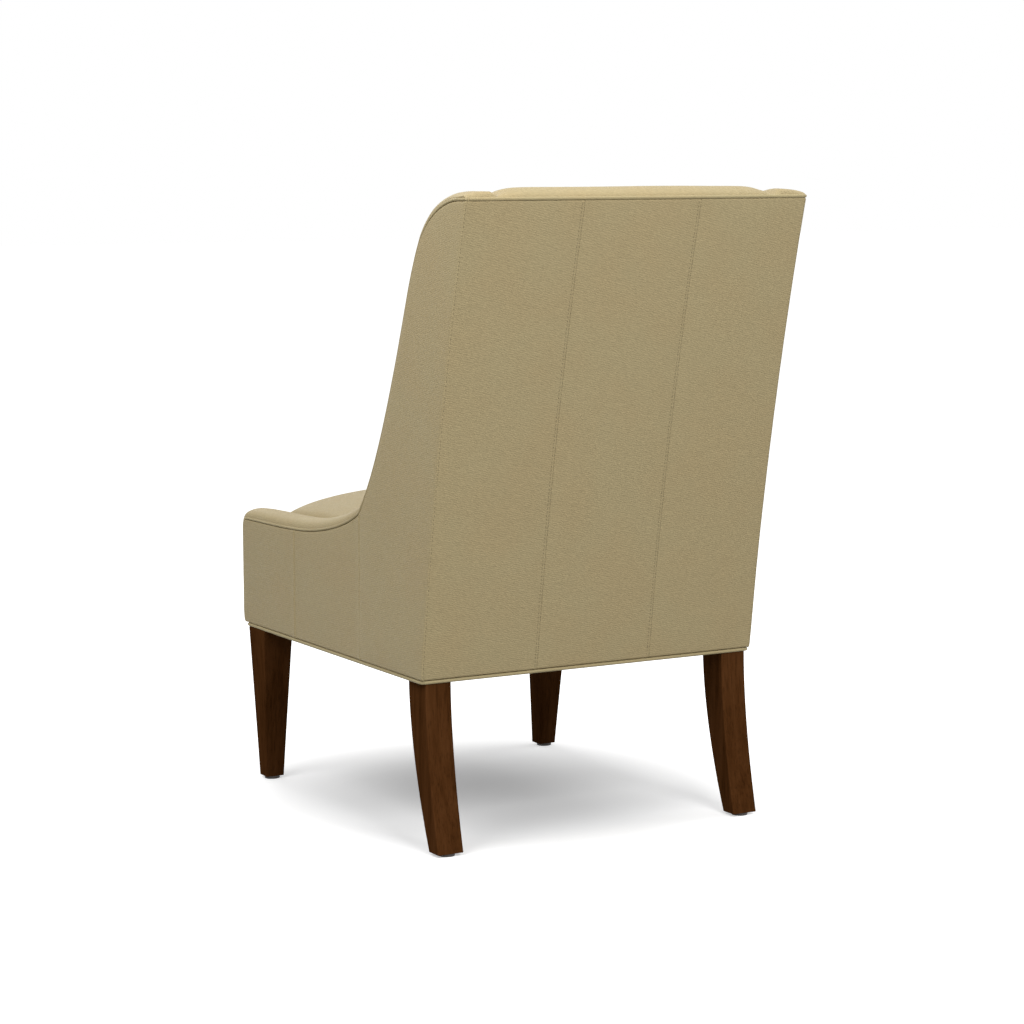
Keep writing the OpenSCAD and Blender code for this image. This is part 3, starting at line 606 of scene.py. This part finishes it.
def back_panel(name, x0, x1, seed, extra=()):
    """One upright panel of the outside back between two seams."""
    line = rear_line(np.linspace(HEM_Z, TOP_Z - PANEL_INSET, 120))
    up = stations(lengths(line)[-1], 9)
    line = at_lengths(line, up)
    out = -normals(line)
    across = stations(x1 - x0, 9) + x0
    x, i = np.meshgrid(across, np.arange(len(up)))
    base = np.stack([x, line[i, 0], line[i, 1]], 2)
    away = [up[i], up[-1] - up[i], x - x0, x1 - x]
    left = BACK_CORNER_ROLL if x0 < RIGHT_SEAM_X - 1 else BACK_ROLL
    right = BACK_CORNER_ROLL if x1 > LEFT_SEAM_X + 1 else BACK_ROLL
    height = panel_height(base, away, (WELT_ROLL, WELT_ROLL, left, right), 1.5, seed)
    outward = np.stack([np.zeros_like(x), out[i, 0], out[i, 1]], 2)
    points = slab(base + height[..., None] * outward, base - 2 * LEATHER * outward)
    add_piece(name + "_leather", points, slab_faces(*x.shape), hide, "leather", (name, *extra))


back_panel("back_panel_left", LEFT_SEAM_X, BACK_EDGE_X, 11)
back_panel("back_panel_centre", RIGHT_SEAM_X, LEFT_SEAM_X, 12, ("back_batting",))
back_panel("back_panel_right", -BACK_EDGE_X, RIGHT_SEAM_X, 13)


# Rolls over the arms and wings. Each wraps the edge of its side frame's plywood, and reaches
# down to the seat's deck, the back post or the top rail.
ROLL_H = 18.5
ROLL_END_Y = 792.6
ROLL_DECK_Z = 385.5
ROLL_POST_GAP = 4.1
ROLL_RAIL_Z = 985.6
PLY_OUT_X = 296.3
PLY_IN_X = 278.2
PLY_EDGE = 3.65
NOSE_R = 5
NOSE_Y = -4
NOSE_Z = 449.4


def roll_rings():
    """Closed rings of the left roll, from its nose at the arm's front to the back's top."""
    turn = np.radians((0, 4, 10, 18, 28, 40, 54, 70))
    nose = np.column_stack([NOSE_Y - NOSE_R * np.cos(turn), np.full(len(turn), NOSE_Z)])
    path = resample(EDGE[EDGE[:, 0] < ROLL_END_Y - 9], 4)
    tail = [(y, 1000.9 + 0.02 * (ROLL_END_Y - y)) for y in ROLL_END_Y - np.array((6.5, 4.2, 2.2, 0.8, 0))]
    path = np.vstack([nose, path[path[:, 0] > -1], tail])
    n = normals(path, 8)
    n[:len(nose) + 2] = (0, 1)
    y, z = path.T
    rounded = np.sqrt(np.clip(1 - ((NOSE_Y - y) / NOSE_R).clip(0) ** 2, 0, 1))
    fullness = rounded * lookup(y, ((-4, 0.84), (40, 0.98), (90, 1), (400, 1), (450, 0.84),
                                    (650, 0.84), (690, 0.92), (728, 0.79), (765, 0.66)))
    rise = ROLL_H * fullness * (1 - 0.95 * quarter(ROLL_END_Y - y, 8))
    pinch = 1.2 * (1 - rounded)
    with np.errstate(divide="ignore"):
        to_deck = np.where(n[:, 1] > 0.3, (z - ROLL_DECK_Z) / n[:, 1], 1e3)
    to_post = (post_y(z) - ROLL_POST_GAP - y) / (n[:, 1] * 0.2 - n[:, 0])
    to_rail = (z - ROLL_RAIL_Z) / np.maximum(n[:, 1], 0.05)
    depth = np.minimum(to_deck, np.maximum(to_post, to_rail))
    depth = np.where(y > 784, 4.2, depth)
    inner_fall = np.minimum(lookup(y, ((620, 8), (700, 3), (740, 4.5), (780, 5))), depth / 2)
    crown_share = lookup(y, ((640, 0.48), (755, 0.54), (785, 0.7)))
    outer_foot = lookup(y, ((640, 0.6), (755, 1.4), (785, 6)))
    roll_x = side_welt_x(y) + lookup(y, ((740, 0.4), (785, 1.2)))
    tuck = lookup(y, ((740, 0), (770, 4)))
    wide = lookup(y, ((755, 2.2), (785, 2)))
    tall = lookup(y, ((755, 2.2), (785, 1.15)))
    inside = lookup(y, ((690, 2.2), (740, 1.5), (780, 1.3)))
    angles = np.linspace(0, math.pi / 2, 13)
    rings = []
    for i in range(len(path)):
        x0, x1, drop = roll_x[i] - pinch[i], ARM_X + pinch[i] - tuck[i], inner_fall[i]
        c, s = np.cos(angles) ** (2 / wide[i]), np.sin(angles) ** (2 / tall[i])
        crown = x0 + crown_share[i] * (x1 - x0)
        foot = min(outer_foot[i], 0.5 * rise[i])
        outer = [(crown + (x0 - crown) * c[k], foot + (rise[i] - foot) * s[k]) for k in range(13)]
        c = np.cos(angles) ** (2 / inside[i])
        outer += [(crown + (x1 - crown) * c[k], (rise[i] + drop) * s[k] - drop)
                  for k in range(11, -1, -1)]
        outer += [(x1, -drop + t * (drop - depth[i])) for t in (0.12, 0.25, 0.4, 0.6, 0.8, 1)]
        inner = [(x, -PLY_EDGE) for x in np.linspace(PLY_OUT_X, PLY_IN_X, 8)]
        inner += [(PLY_IN_X, -PLY_EDGE + t * (PLY_EDGE - depth[i])) for t in np.linspace(0, 1, 24)[1:]]
        rings.append([(x, *(path[i] + h * n[i])) for x, h in outer + inner[::-1]])
    return np.array(rings), path, n, len(outer)


def crease_ripple(points, path, n, shown):
    """Soft gathers across the roll where its edge bends, and slack elsewhere."""
    bend = np.linalg.norm(np.gradient(n, axis=0), axis=1)
    bend = np.clip(bend / 0.06, 0, 1)[:, None]
    along = np.broadcast_to(lengths(path)[:, None], points.shape[:2])
    phase = np.stack([along / 15, np.full_like(along, 3.1), points[..., 0] / 60], 2)
    gathers = ripple(phase, 1, 5)
    share = np.zeros(points.shape[1])
    share[:shown] = np.sin(np.linspace(0.05, 2.6, shown)) ** 2
    slack = 0.45 * ripple(points, 60, 6) + 0.15 * ripple(points, 14, 7)
    return (1.1 * bend * gathers + slack) * share


def make_rolls():
    points, path, n, shown = roll_rings()
    outward = points - np.array([0.5 * (WELT_X + ARM_X), 0, 0])
    outward[..., 1:] = n[:, None, :] * np.maximum(
        np.einsum("ijk,ik->ij", points[..., 1:] - path[:, None], n), 0)[..., None]
    outward[..., 0] *= 0.35
    outward /= np.maximum(np.linalg.norm(outward, axis=2), 1e-6)[..., None]

    def shape(mirror):
        return points + crease_ripple(points + 500 * mirror, path, n, shown)[..., None] * outward

    for piece in add_pair("arm_wing_{}_leather", shape, ring_faces(*points.shape[:2]), hide,
                          "leather", ("arm_wing_cover_{}", "arm_wing_foam_{}")):
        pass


make_rolls()


# Wrapped pads: the seat, the inside back and the arms' fronts

def wrapped(profile, x0, x1, radius, depth, step=8):
    """Closed rings of a pad that follows a profile, with quarter-round sides. Radius and depth
    are given for each point of the profile, and outward is to the left of it."""
    out = normals(profile, 2)
    turn = np.linspace(0, math.pi / 2, 7)
    middle, half = (x0 + x1) / 2, (x1 - x0) / 2
    flat = np.linspace(-1, 1, max(3, round(2 * half / step)))[1:-1]
    rings = []
    for p, o, r, d in zip(profile, out, radius, depth):
        side = [(half - r + r * math.sin(a), r - r * math.cos(a)) for a in turn]
        side += [(half, r + 0.5 * d), (half, r + d)]
        top = [(f * (half - r), 0) for f in flat]
        top = [(-x, drop) for x, drop in side[::-1]] + top + side
        xs, drops = np.array(top).T
        under = np.full(len(top), r + d + 0.3)
        under_x = middle + 0.99 * half * np.linspace(-1, 1, len(top))
        rings.append(np.concatenate([
            np.stack([middle + xs, p[0] - drops * o[0], p[1] - drops * o[1]], 1),
            np.stack([under_x, p[0] - under * o[0], p[1] - under * o[1]], 1)[::-1]]))
    return np.array(rings), out


def push(points, out, amount):
    """Moves the rings' points outward along their profile's normals."""
    moved = points.copy()
    moved[..., 1] += amount * out[:, None, 0]
    moved[..., 2] += amount * out[:, None, 1]
    return moved


SIM_FRAMES = 20
EVEN_PASSES = 45
SWELL_CAP = 0.012
SEAT_X = 242.6
INSIDE_BACK_X = 242.7
SWELL_ROOM = 0.2


def evened(moves):
    """A grid of moves with each one averaged with its neighbours, over and over."""
    for _ in range(EVEN_PASSES):
        for axis in (0, 1):
            moves = 0.5 * moves + 0.25 * (np.roll(moves, 1, axis) + np.roll(moves, -1, axis))
    return moves


def vertices(mesh):
    flat = np.empty(3 * len(mesh.vertices))
    mesh.vertices.foreach_get("co", flat)
    return flat.reshape(-1, 3)


def swell(piece, held, ease, pressure, limit_x):
    """Runs the pad as cloth under air pressure, and keeps the shape it takes, without its small
    wrinkles. Held and ease are grids like the pad's rings, and ease scales each point's move."""
    mesh = piece.data
    rest = vertices(mesh)
    group = piece.vertex_groups.new(name="held")
    group.add(np.flatnonzero(held).tolist(), 1.0, "REPLACE")
    cloth = piece.modifiers.new("swell", "CLOTH")
    cloth.settings.quality = 5
    cloth.settings.bending_stiffness = 6
    cloth.settings.use_pressure = True
    cloth.settings.uniform_pressure_force = pressure
    cloth.settings.vertex_group_mass = "held"
    cloth.settings.effector_weights.gravity = 0
    cloth.collision_settings.use_collision = False
    cloth.point_cache.frame_end = SIM_FRAMES
    scene = bpy.context.scene
    for step in range(1, SIM_FRAMES + 1):
        scene.frame_set(step)
    result = piece.evaluated_get(bpy.context.evaluated_depsgraph_get()).data
    move = evened((vertices(result) - rest).reshape(*ease.shape, 3))
    move = (move * (ease * ~held)[..., None]).reshape(-1, 3)
    far = np.linalg.norm(move, axis=1)
    move *= np.minimum(1, SWELL_CAP / np.maximum(far, 1e-9))[:, None]
    piece.modifiers.remove(cloth)
    piece.vertex_groups.remove(group)
    scene.frame_set(1)
    shape = rest + move
    shape[:, 0] = shape[:, 0].clip(-limit_x * 0.001, limit_x * 0.001)
    mesh.vertices.foreach_set("co", shape.ravel())
    mesh.update()
    smooth = piece.modifiers.new("smooth", "SUBSURF")
    smooth.levels = smooth.render_levels = 1


def add_pad(name, points, held, ease, pressure, half_width, nodes):
    """A swelled pad. Its underside and the columns beside it are held, as well as those given."""
    piece = add_piece(name, points, ring_faces(*points.shape[:2]), hide, "leather", nodes)
    columns = np.arange(points.shape[1])
    shown = len(columns) // 2
    held = held | (columns >= shown) | (columns < 2) | (columns > shown - 3)
    swell(piece, held, ease, pressure, half_width + SWELL_ROOM)
    return piece


def make_seat():
    nose = bezier(((-FRONT_PUFF, 425), (-FRONT_PUFF, 462), (18, 486), (62, 496)), 6)
    top = [(133.8, 503), (224.8, SEAT_Z + 7), (321.2, 506.2), (406.8, 499), (476.4, 487),
           (512, 476), (528, 462), (534, 450), (CREASE_Y - 0.6, 436)]
    profile = smooth_path([*FRONT_FACE, *nose, *top], 6)
    y, z = profile.T
    before_tuck = np.clip((CREASE_Y - y) / 60, 0, 1)
    radius = 5.5 + 6.5 * np.clip((z - 330) / 100, 0, 1) * before_tuck
    depth = np.where(z < 385, 6.5, 6.5 + 22 * np.clip((z - 385) / 60, 0, 1)) * (
        0.25 + 0.75 * before_tuck)
    points, out = wrapped(profile, -SEAT_X, SEAT_X, radius, depth)
    e = np.abs(points[..., 0]) / SEAT_X
    fall = 1 - SEAT_DROP / (SEAT_Z - RAIL_Z) * (0.78 * e ** 2.4 + 0.22 * e ** 12)
    height = points[..., 2]
    points[..., 2] = np.where(height > RAIL_Z, RAIL_Z + (height - RAIL_Z) * fall, height)
    belly = 2.6 * (1 - e ** 3) * np.exp(-((z - 370) / 60) ** 2)[:, None]
    belly *= (y < 5)[:, None]
    edge = np.exp(-(SEAT_X - np.abs(points[..., 0])) / 26)
    slack = 0.7 * ripple(points, 120, 21) + 0.5 * edge * ripple(points * (0.4, 1, 1), 17, 22)
    points = push(points, out, belly + slack)
    held = (points[..., 2] < 285) | (np.arange(len(points)) > len(points) - 6)[:, None]
    ease = np.clip((points[..., 2] - 285) / 80, 0, 1) * np.clip((CREASE_Y - points[..., 1]) / 40, 0, 1)
    piece = add_pad("seat_leather", points, held, ease, 0.7, SEAT_X,
                    ("seat_cover", "seat_foam", "front_pad"))


make_seat()


def make_inside_back():
    face = [(inside_y(z), z) for z in (CREASE_Z, 500, 560, 640, 720, 800, 870, 925, 955)]
    low = [(inside_y(CREASE_Z) - 4, CREASE_Z - 24), (inside_y(CREASE_Z) - 2, CREASE_Z - 12)]
    crest = (REAR_TOP_Y - 35, 1018.3)
    brow = bezier((face[-1], (inside_y(985), 985), (crest[0] - 40, crest[1]), crest), 6)[1:]
    fall = bezier((crest, (crest[0] + 16, crest[1]), (789.5, 1011), (790.4, 1001.8)), 6)[1:]
    profile = smooth_path([*low, *face, *brow, *fall], 6)
    y, z = profile.T
    from_end = np.clip((ROLL_END_Y - y) / 20, 0, 1)
    over = np.clip((990 - z) / 80, 0, 1)
    radius = 2.5 + 10 * from_end * (0.5 + 0.5 * over)
    points, out = wrapped(profile, -INSIDE_BACK_X, INSIDE_BACK_X, radius, 2 + 26 * over)
    e = np.abs(points[..., 0]) / INSIDE_BACK_X
    draw = -15 * e ** 18 * from_end[:, None]
    plump = 5 * (1 - e ** 4) * np.exp(-((z - 620) / 120) ** 2)[:, None]
    edge = np.exp(-(INSIDE_BACK_X - np.abs(points[..., 0])) / 30)
    slack = 0.8 * ripple(points, 130, 31) + 0.55 * edge * ripple(points * (0.4, 1, 1), 19, 32)
    points = push(points, out, draw + plump + slack * from_end[:, None])
    rows = np.arange(len(points))[:, None]
    held = (rows < 4) | (rows > len(points) - 4)
    ease = np.clip((points[..., 2] - 455) / 60, 0, 1) * np.clip((ROLL_END_Y - points[..., 1]) / 30, 0, 1)
    piece = add_pad("inside_back_leather", points, held, ease, 0.5, INSIDE_BACK_X,
                    ("inside_back_cover", "back_foam"))


make_inside_back()


def make_arm_fronts():
    profile = smooth_path([*FRONT_FACE, (-FRONT_PUFF, 436), (-9.6, 445), (-8.8, 449.4), (-5.5, 452),
                           (-1, 452.6)], 4)
    radius, depth = np.full(len(profile), 5.0), np.full(len(profile), 2.2)
    points, out = wrapped(profile, ARM_X + 0.3, BACK_EDGE_X + 0.6, radius, depth, step=6)

    def shape(mirror):
        return push(points, out, 0.35 * ripple(points + 300 * mirror, 45, 41))

    for piece in add_pair("arm_front_{}_leather", shape, ring_faces(*points.shape[:2]), hide,
                          "leather", ("arm_front_cover_{}", "arm_front_pad_{}")):
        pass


make_arm_fronts()


# Welts
BASE_CORNER_R = 6.5


def wobble(path, size, seed):
    """Factors that make a welt a little thicker and thinner along its path."""
    return 1 + 0.03 * ripple(path, size, seed)


def add_welt(name, path, size, seed, reference, closed=False):
    rings = tube(path, WELT_R * wobble(path, size, seed), closed, reference)
    add_piece(name + "_leather", rings, ring_faces(*rings.shape[:2], closed), welt_hide, "welt",
              (name,))


def make_welts():
    line = resample(EDGE[EDGE[:, 0] > 4], 4)
    line = line - WELT_SINK * normals(line, 2)
    nose = np.array([(-5.6, 440), (-5.4, 444.5), (-4.2, 447.8), (-1.6, 449.3), (1.5, 449.5)])
    side = resample(np.vstack([nose, line]), 3)
    x = side_welt_x(side[:, 0])
    x[:3] -= (3.0, 1.6, 0.5)
    path = np.column_stack([x, side])
    add_pair("side_welt_{}_leather",
             lambda mirror: tube(path, SIDE_WELT_R * wobble(path + 200 * mirror, 22, 51)),
             ring_faces(len(path), 14), welt_hide, "welt", ("side_welt_{}",))
    across = np.arange(-WELT_X + 2.2, WELT_X - 2.1, 3.5)
    back = np.column_stack([across, np.full(len(across), REAR_TOP_Y - LEATHER),
                            np.full(len(across), TOP_Z - WELT_SINK)])
    add_welt("back_welt", back, 22, 52, (0, 1, 0))
    x1 = base_high.x - WELT_R - BASE_CORNER_R
    y0 = base_low.y + MID_Y + WELT_R + BASE_CORNER_R
    y1 = base_high.y + MID_Y - WELT_R - BASE_CORNER_R
    loop = []
    for cx, cy, first in ((x1, y0, -90), (x1, y1, 0), (-x1, y1, 90), (-x1, y0, 180)):
        for a in np.radians(np.linspace(first, first + 90, 5)):
            loop.append((cx + BASE_CORNER_R * math.cos(a), cy + BASE_CORNER_R * math.sin(a)))
    loop = resample(np.array(loop + loop[:1]), 2.5)[:-1]
    base = np.column_stack([loop, np.full(len(loop), BASE_Z + WELT_R)])
    add_welt("base_welt", base, 25, 53, (0, 0, 1), closed=True)


make_welts()


# Stitches, as short bars of thread half sunk in the leather

def stitch_row(name, path, outward, length, radius=0.45, pitch=6, finish=thread):
    """A row of stitches along a path in space, with the leather's outward direction. Each one
    is a bar of six-sided rings, at shares of its length and thickness."""
    total = lengths(path)[-1]
    count = int(total // pitch)
    places = (np.arange(count) + 0.5) * total / count
    centres = at_lengths(path, places)
    outs = at_lengths(np.column_stack([path, outward]), places)[:, 3:]
    ahead = at_lengths(path, np.minimum(places + 1, total))
    bars = []
    for centre, out, t in zip(centres, unit(outs), unit(ahead - centres)):
        side = np.cross(t, out)
        bar = []
        for along, thick in ((-0.5, 0.3), (-0.38, 0.85), (0.0, 1.0), (0.38, 0.85), (0.5, 0.3)):
            middle = centre + along * length * t + out * radius * (1.1 * thick - 0.75)
            bar.append([middle + radius * thick * (math.cos(a) * side + math.sin(a) * out)
                        for a in np.arange(6) * math.pi / 3])
        bars.append(np.array(bar))
    add_piece(name, *joined(bars, bar_faces), finish, "welt")


def back_row(x, inset):
    """Path up the outside back at x, standing inset mm inside the puffed leather, and outward."""
    line = rear_line(np.linspace(HEM_Z + 4, TOP_Z - PANEL_INSET - 3, 80))
    out = -normals(line)
    path = np.column_stack([np.full(len(line), x), line - inset * out])
    return path, np.column_stack([np.zeros(len(line)), out])


def make_stitches():
    for x, hand in ((LEFT_SEAM_X, "left"), (RIGHT_SEAM_X, "right")):
        stitch_row(f"back_seam_stitches_{hand}", *back_row(x, 0.35), 3.0)
        stitch_row(f"back_top_stitches_{hand}", *back_row(x + 4.3, -0.4), 3.4, 0.35)
    for sign, hand in ((1, "left"), (-1, "right")):
        stitch_row(f"corner_stitches_{hand}", *back_row(sign * (BACK_EDGE_X - 1.5), 0.2),
                   4.2, 0.5, 6.5, dark_thread)


make_stitches()


# Legs. Each end is given by its lowest and highest x, and its lowest and highest distance.
FRONT_FOOT = np.array((255.5, 288, 19, 47))
FRONT_TOP = np.array((247.5, 302, 12, 73))
REAR_FOOT = np.array((249, 293.6, 653, 683))
REAR_TOP = np.array((249, 293.6, 589, 645))
REAR_CURVE = 1.7
LEG_EASE = 1.3


def leg_points(ends, heights):
    """Rings of a leg, from its four-sided outline at each height, with its long edges eased."""
    points = []
    for (x0, x1, y0, y1), z in zip(ends, heights):
        ring = np.array([(x0, y0, z), (x1, y0, z), (x1, y1, z), (x0, y1, z)])
        before, after = (LEG_EASE * unit(np.roll(ring, k, 0) - ring) for k in (1, -1))
        points += [ring[k] + (1 - t) ** 2 * before[k] + t ** 2 * after[k]
                   for k in range(4) for t in (0, 0.5, 1)]
    return np.array(points)


def make_legs():
    top = BASE_Z - 0.05
    heights = np.linspace(GLIDE_T, top, 6)
    front = leg_points([FRONT_FOOT + t * (FRONT_TOP - FRONT_FOOT) for t in np.linspace(0, 1, 6)],
                       heights)
    heights = np.linspace(GLIDE_T, top, 14)
    sweep = ((BASE_Z - heights) / (BASE_Z - GLIDE_T)) ** REAR_CURVE
    rear = leg_points([REAR_TOP + t * (REAR_FOOT - REAR_TOP) for t in sweep], heights)
    for hand, side in (("left", 1), ("right", -1)):
        for name, points in ((f"leg_front_{hand}", front), (f"leg_rear_{hand}", rear)):
            piece = add_piece(name + "_wood", points * (side, 1, 1), bar_faces(len(points) // 12, 12),
                              espresso, "leg_wood", (name,))
            bevel = piece.modifiers.new("eased_ends", "BEVEL")
            bevel.width = 0.0007
            bevel.segments = 2
            bevel.limit_method = "ANGLE"
            bevel.angle_limit = math.radians(50)
            piece.data.shade_flat()


make_legs()


# Underside and the frame inside

def graded(stops, counts):
    """Places from stop to stop, with a count for each stretch between two stops."""
    return np.unique(np.concatenate([
        np.linspace(a, b, count) for a, b, count in zip(stops, stops[1:], counts)]))


def make_dust_cover():
    """Black cloth with notches for the legs, drawn tight and a little slack in its middle."""
    low, high = box_mm("dust_cover")
    front, rear = low.y + MID_Y, high.y + MID_Y
    notch_x, notch_front, notch_rear = 248, 78, 588
    xs = graded((low.x, -notch_x, notch_x, high.x), (4, 30, 4))
    ys = graded((front, notch_front, notch_rear, rear), (6, 30, 5))

    def kept(i, j):
        mid_x, mid_y = abs(xs[j] + xs[j + 1]) / 2, (ys[i] + ys[i + 1]) / 2
        return not (mid_x > notch_x and (mid_y < notch_front or mid_y > notch_rear))

    x, y = np.meshgrid(xs, ys)
    sag = np.sin(math.pi * (x - low.x) / (high.x - low.x)) * np.sin(
        math.pi * (y - front) / (rear - front))
    flat = np.stack([x, y, np.zeros_like(x)], 2)
    z = BASE_Z - 0.1 - 1.6 * sag ** 0.7 - 0.4 * sag * ripple(flat, 45, 61)
    upper = np.stack([x, y, z], 2)
    piece = add_piece("dust_cover_cloth", slab(upper, upper - (0, 0, 0.5)),
                      slab_faces(*x.shape, kept), black_cloth, "dust_cloth", ("dust_cover",))


make_dust_cover()


def grid_sheet(node, corners, sag, seed):
    """A stretched sheet of cloth from one corner to its two neighbours, sagging between its
    tacked edges."""
    a, b, d = np.array(corners)
    u, v = np.meshgrid(np.linspace(0, 1, 36), np.linspace(0, 1, 36))
    u, v = u[..., None], v[..., None]
    points = a + u * (b - a) + v * (d - a)
    out = unit(np.cross(b - a, d - a))
    slack = np.sin(math.pi * u) * np.sin(math.pi * v)
    points = points - out * slack * (sag + 0.4 * ripple(points, 60, seed)[..., None])
    piece = add_piece(node + "_cloth", slab(points, points - out * 0.8), slab_faces(36, 36), burlap,
                      "deck_cloth", (node,))


def make_inner_cloths():
    low, high = box_mm("seat_deck")
    y0, y1, z = low.y + MID_Y, high.y + MID_Y, high.z
    grid_sheet("seat_deck", ((low.x, y0, z), (high.x, y0, z), (low.x, y1, z)), 1.0, 71)
    low, high = box_mm("back_burlap")
    (y0, z0), (y1, z1) = ((post_y(z) - 3.5, z) for z in (low.z, high.z))
    grid_sheet("back_burlap", ((high.x, y0, z0), (low.x, y0, z0), (high.x, y1, z1)), 0.4, 72)


make_inner_cloths()

STRAPS = 5
STRAP_W = 60
STRAP_T = 2
UP_THE_BACK = (0, 0.196, 0.981)
OUT_OF_THE_BACK = (0, -0.981, 0.196)


def strap(start, end, width_way, out, wave):
    """Rings of one flat strap with rounded edges, weaving over and under by wave mm."""
    start, end, width_way, out = (np.array(v, float) for v in (start, end, width_way, out))
    half = STRAP_W / 2
    section = [(-half, 0), (-half + 1, 0.5), (half - 1, 0.5), (half, 0), (half - 1, -0.5),
               (-half + 1, -0.5)]
    rings = []
    for t in np.linspace(0, 1, 34):
        middle = start + t * (end - start) + out * wave * math.sin(5 * math.pi * t) * math.sin(
            math.pi * t)
        rings.append([middle + w * width_way + h * STRAP_T * out for w, h in section])
    return np.array(rings)


def add_straps(node, straps):
    add_piece(node + "_woven", *joined(straps, ring_faces), jute, "webbing", (node,))


def strap_places(low, high):
    return np.linspace(low + STRAP_W / 2, high - STRAP_W / 2, STRAPS)


def make_webbing():
    low, high = box_mm("seat_straps_lengthwise")
    y0, y1, z = low.y + MID_Y, high.y + MID_Y, (low.z + high.z) / 2
    add_straps("seat_straps_lengthwise", [
        strap((x, y0, z), (x, y1, z), (1, 0, 0), (0, 0, 1), 0.5 * (-1) ** k)
        for k, x in enumerate(strap_places(low.x, high.x))])
    low, high = box_mm("seat_straps_crosswise")
    z = (low.z + high.z) / 2
    add_straps("seat_straps_crosswise", [
        strap((low.x, y, z), (high.x, y, z), (0, 1, 0), (0, 0, 1), -0.5 * (-1) ** k)
        for k, y in enumerate(strap_places(low.y + MID_Y, high.y + MID_Y))])
    low, high = box_mm("back_webbing")
    add_straps("back_webbing", [
        strap((low.x, post_y(z) - 1, z), (high.x, post_y(z) - 1, z), UP_THE_BACK, OUT_OF_THE_BACK, 0)
        for z in strap_places(low.z, high.z)])


make_webbing()

FINISHES = {
    plywood: ("side_frame_left", "side_frame_right"),
    raw_wood: ("front_rail", "rear_rail", "seat_cleat_left", "seat_cleat_right",
               "back_post_left", "back_post_right", "lower_back_rail", "top_rail",
               "corner_blocks", "frame_dowels"),
    steel: ("frame_screws", "glide_nails", "leg_bolts", "leg_tee_nuts"),
    nylon: ("glides",),
}
for finish, names in FINISHES.items():
    for name in names:
        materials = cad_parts[name].data.materials
        materials.clear()
        materials.append(finish)


# Studio. The floor's painted shadow is darkest in a core round a middle, and fades with the distance.
SHADE_MIDDLE = (0.025, -0.02, 0)
SHADE_CORE = (0.02, 0.05, 0)
SHADE_REACH = 0.7
# Glow seen by the camera, from the painted shadow's core to the white floor far off
PAINTED_SHADOW_GLOW = (0.125, 0.82)
PAPER_SEEN = (0.72, 0.72, 0.72, 1)
PAPER_BOUNCE = (0.33, 0.33, 0.33, 1)
FLOOR_HALF = 30
DOME = 0.42
LAMPS = (
    ("overhead", (0, 0, 2.4), (0, 0, 0.3), 1.7, 9.5),
    ("left", (1.8, 0.6, 2.25), (0.2, 0.1, 0.85), 1.4, 32.5),
    ("right", (-2.4, 0, 2.3), (-0.2, 0, 0.9), 1.4, 18),
    ("rear", (0.1, 2.8, 2.3), (0, 0.3, 0.85), 1.4, 60.5),
    ("front", (0, -2.8, 2.3), (0, -0.2, 0.85), 1.4, 14),
)


def seen_directly(tree):
    """1 where a surface is seen by the camera, through glass or in a reflection."""
    rays = tree.nodes.new("ShaderNodeLightPath").outputs
    seen = plus(rays["Is Camera Ray"], rays["Is Transmission Ray"], "MAXIMUM")
    return plus(seen, rays["Is Glossy Ray"], "MAXIMUM")


def make_floor():
    """White paper. The camera sees it glow less near the chair, which paints the chair's shadow on it,
    and brighter away from it.
    """
    material = bpy.data.materials.new("floor")
    material.use_nodes = True
    tree = material.node_tree
    tree.nodes.remove(tree.nodes["Principled BSDF"])
    offset = vector_math("ABSOLUTE", vector_math("SUBTRACT", object_place(tree), SHADE_MIDDLE))
    beyond = vector_math("MAXIMUM", vector_math("SUBTRACT", offset, SHADE_CORE), (0, 0, 0))
    away = vector_math("LENGTH", beyond).node.outputs["Value"]
    # Painted shadow: the camera-seen glow is weakest in the core round the chair and rises to white away
    # from it.
    glow = remap(away, (0.0, SHADE_REACH), PAINTED_SHADOW_GLOW, interpolation_type="SMOOTHERSTEP")
    bounce, paper = (add_node("BsdfDiffuse", {"Color": c}, tree) for c in (PAPER_BOUNCE, PAPER_SEEN))
    shine = add_node("Emission", {"Strength": glow, "Color": (1, 1, 1, 1)})
    both = add_node("AddShader", {0: paper.outputs[0], 1: shine.outputs[0]})
    mix = add_node("MixShader", {0: seen_directly(tree), 1: bounce.outputs[0], 2: both.outputs[0]})
    set_inputs(tree.nodes["Material Output"], {"Surface": mix.outputs[0]})
    mesh = bpy.data.meshes.new("floor")
    mesh.from_pydata([(x * FLOOR_HALF, y * FLOOR_HALF, 0) for x, y in (
        (-1, -1), (1, -1), (1, 1), (-1, 1))], [], [(0, 1, 2, 3)])
    mesh.materials.append(material)
    floor = new_object("floor", mesh)


def make_world():
    """An even dome that lights at its own strength and is seen as plain white."""
    world = bpy.data.worlds.new("studio")
    bpy.context.scene.world = world
    world.use_nodes = True
    tree = world.node_tree
    strength = remap(seen_directly(tree), (0.0, 1.0), (DOME, 1.0))
    set_inputs(tree.nodes["Background"], {"Color": (1, 1, 1, 1), "Strength": strength})


def add_lamp(name, place, target, size, watts):
    data = bpy.data.lights.new(name, "AREA")
    data.shape = "RECTANGLE"
    data.size = data.size_y = size
    data.energy = watts
    lamp = new_object(name, data)
    lamp.location = place
    lamp.rotation_euler = (Vector(target) - Vector(place)).to_track_quat("-Z", "Y").to_euler()


make_floor()
make_world()
for lamp in LAMPS:
    add_lamp(*lamp)
bpy.context.scene.view_settings.view_transform = "Standard"
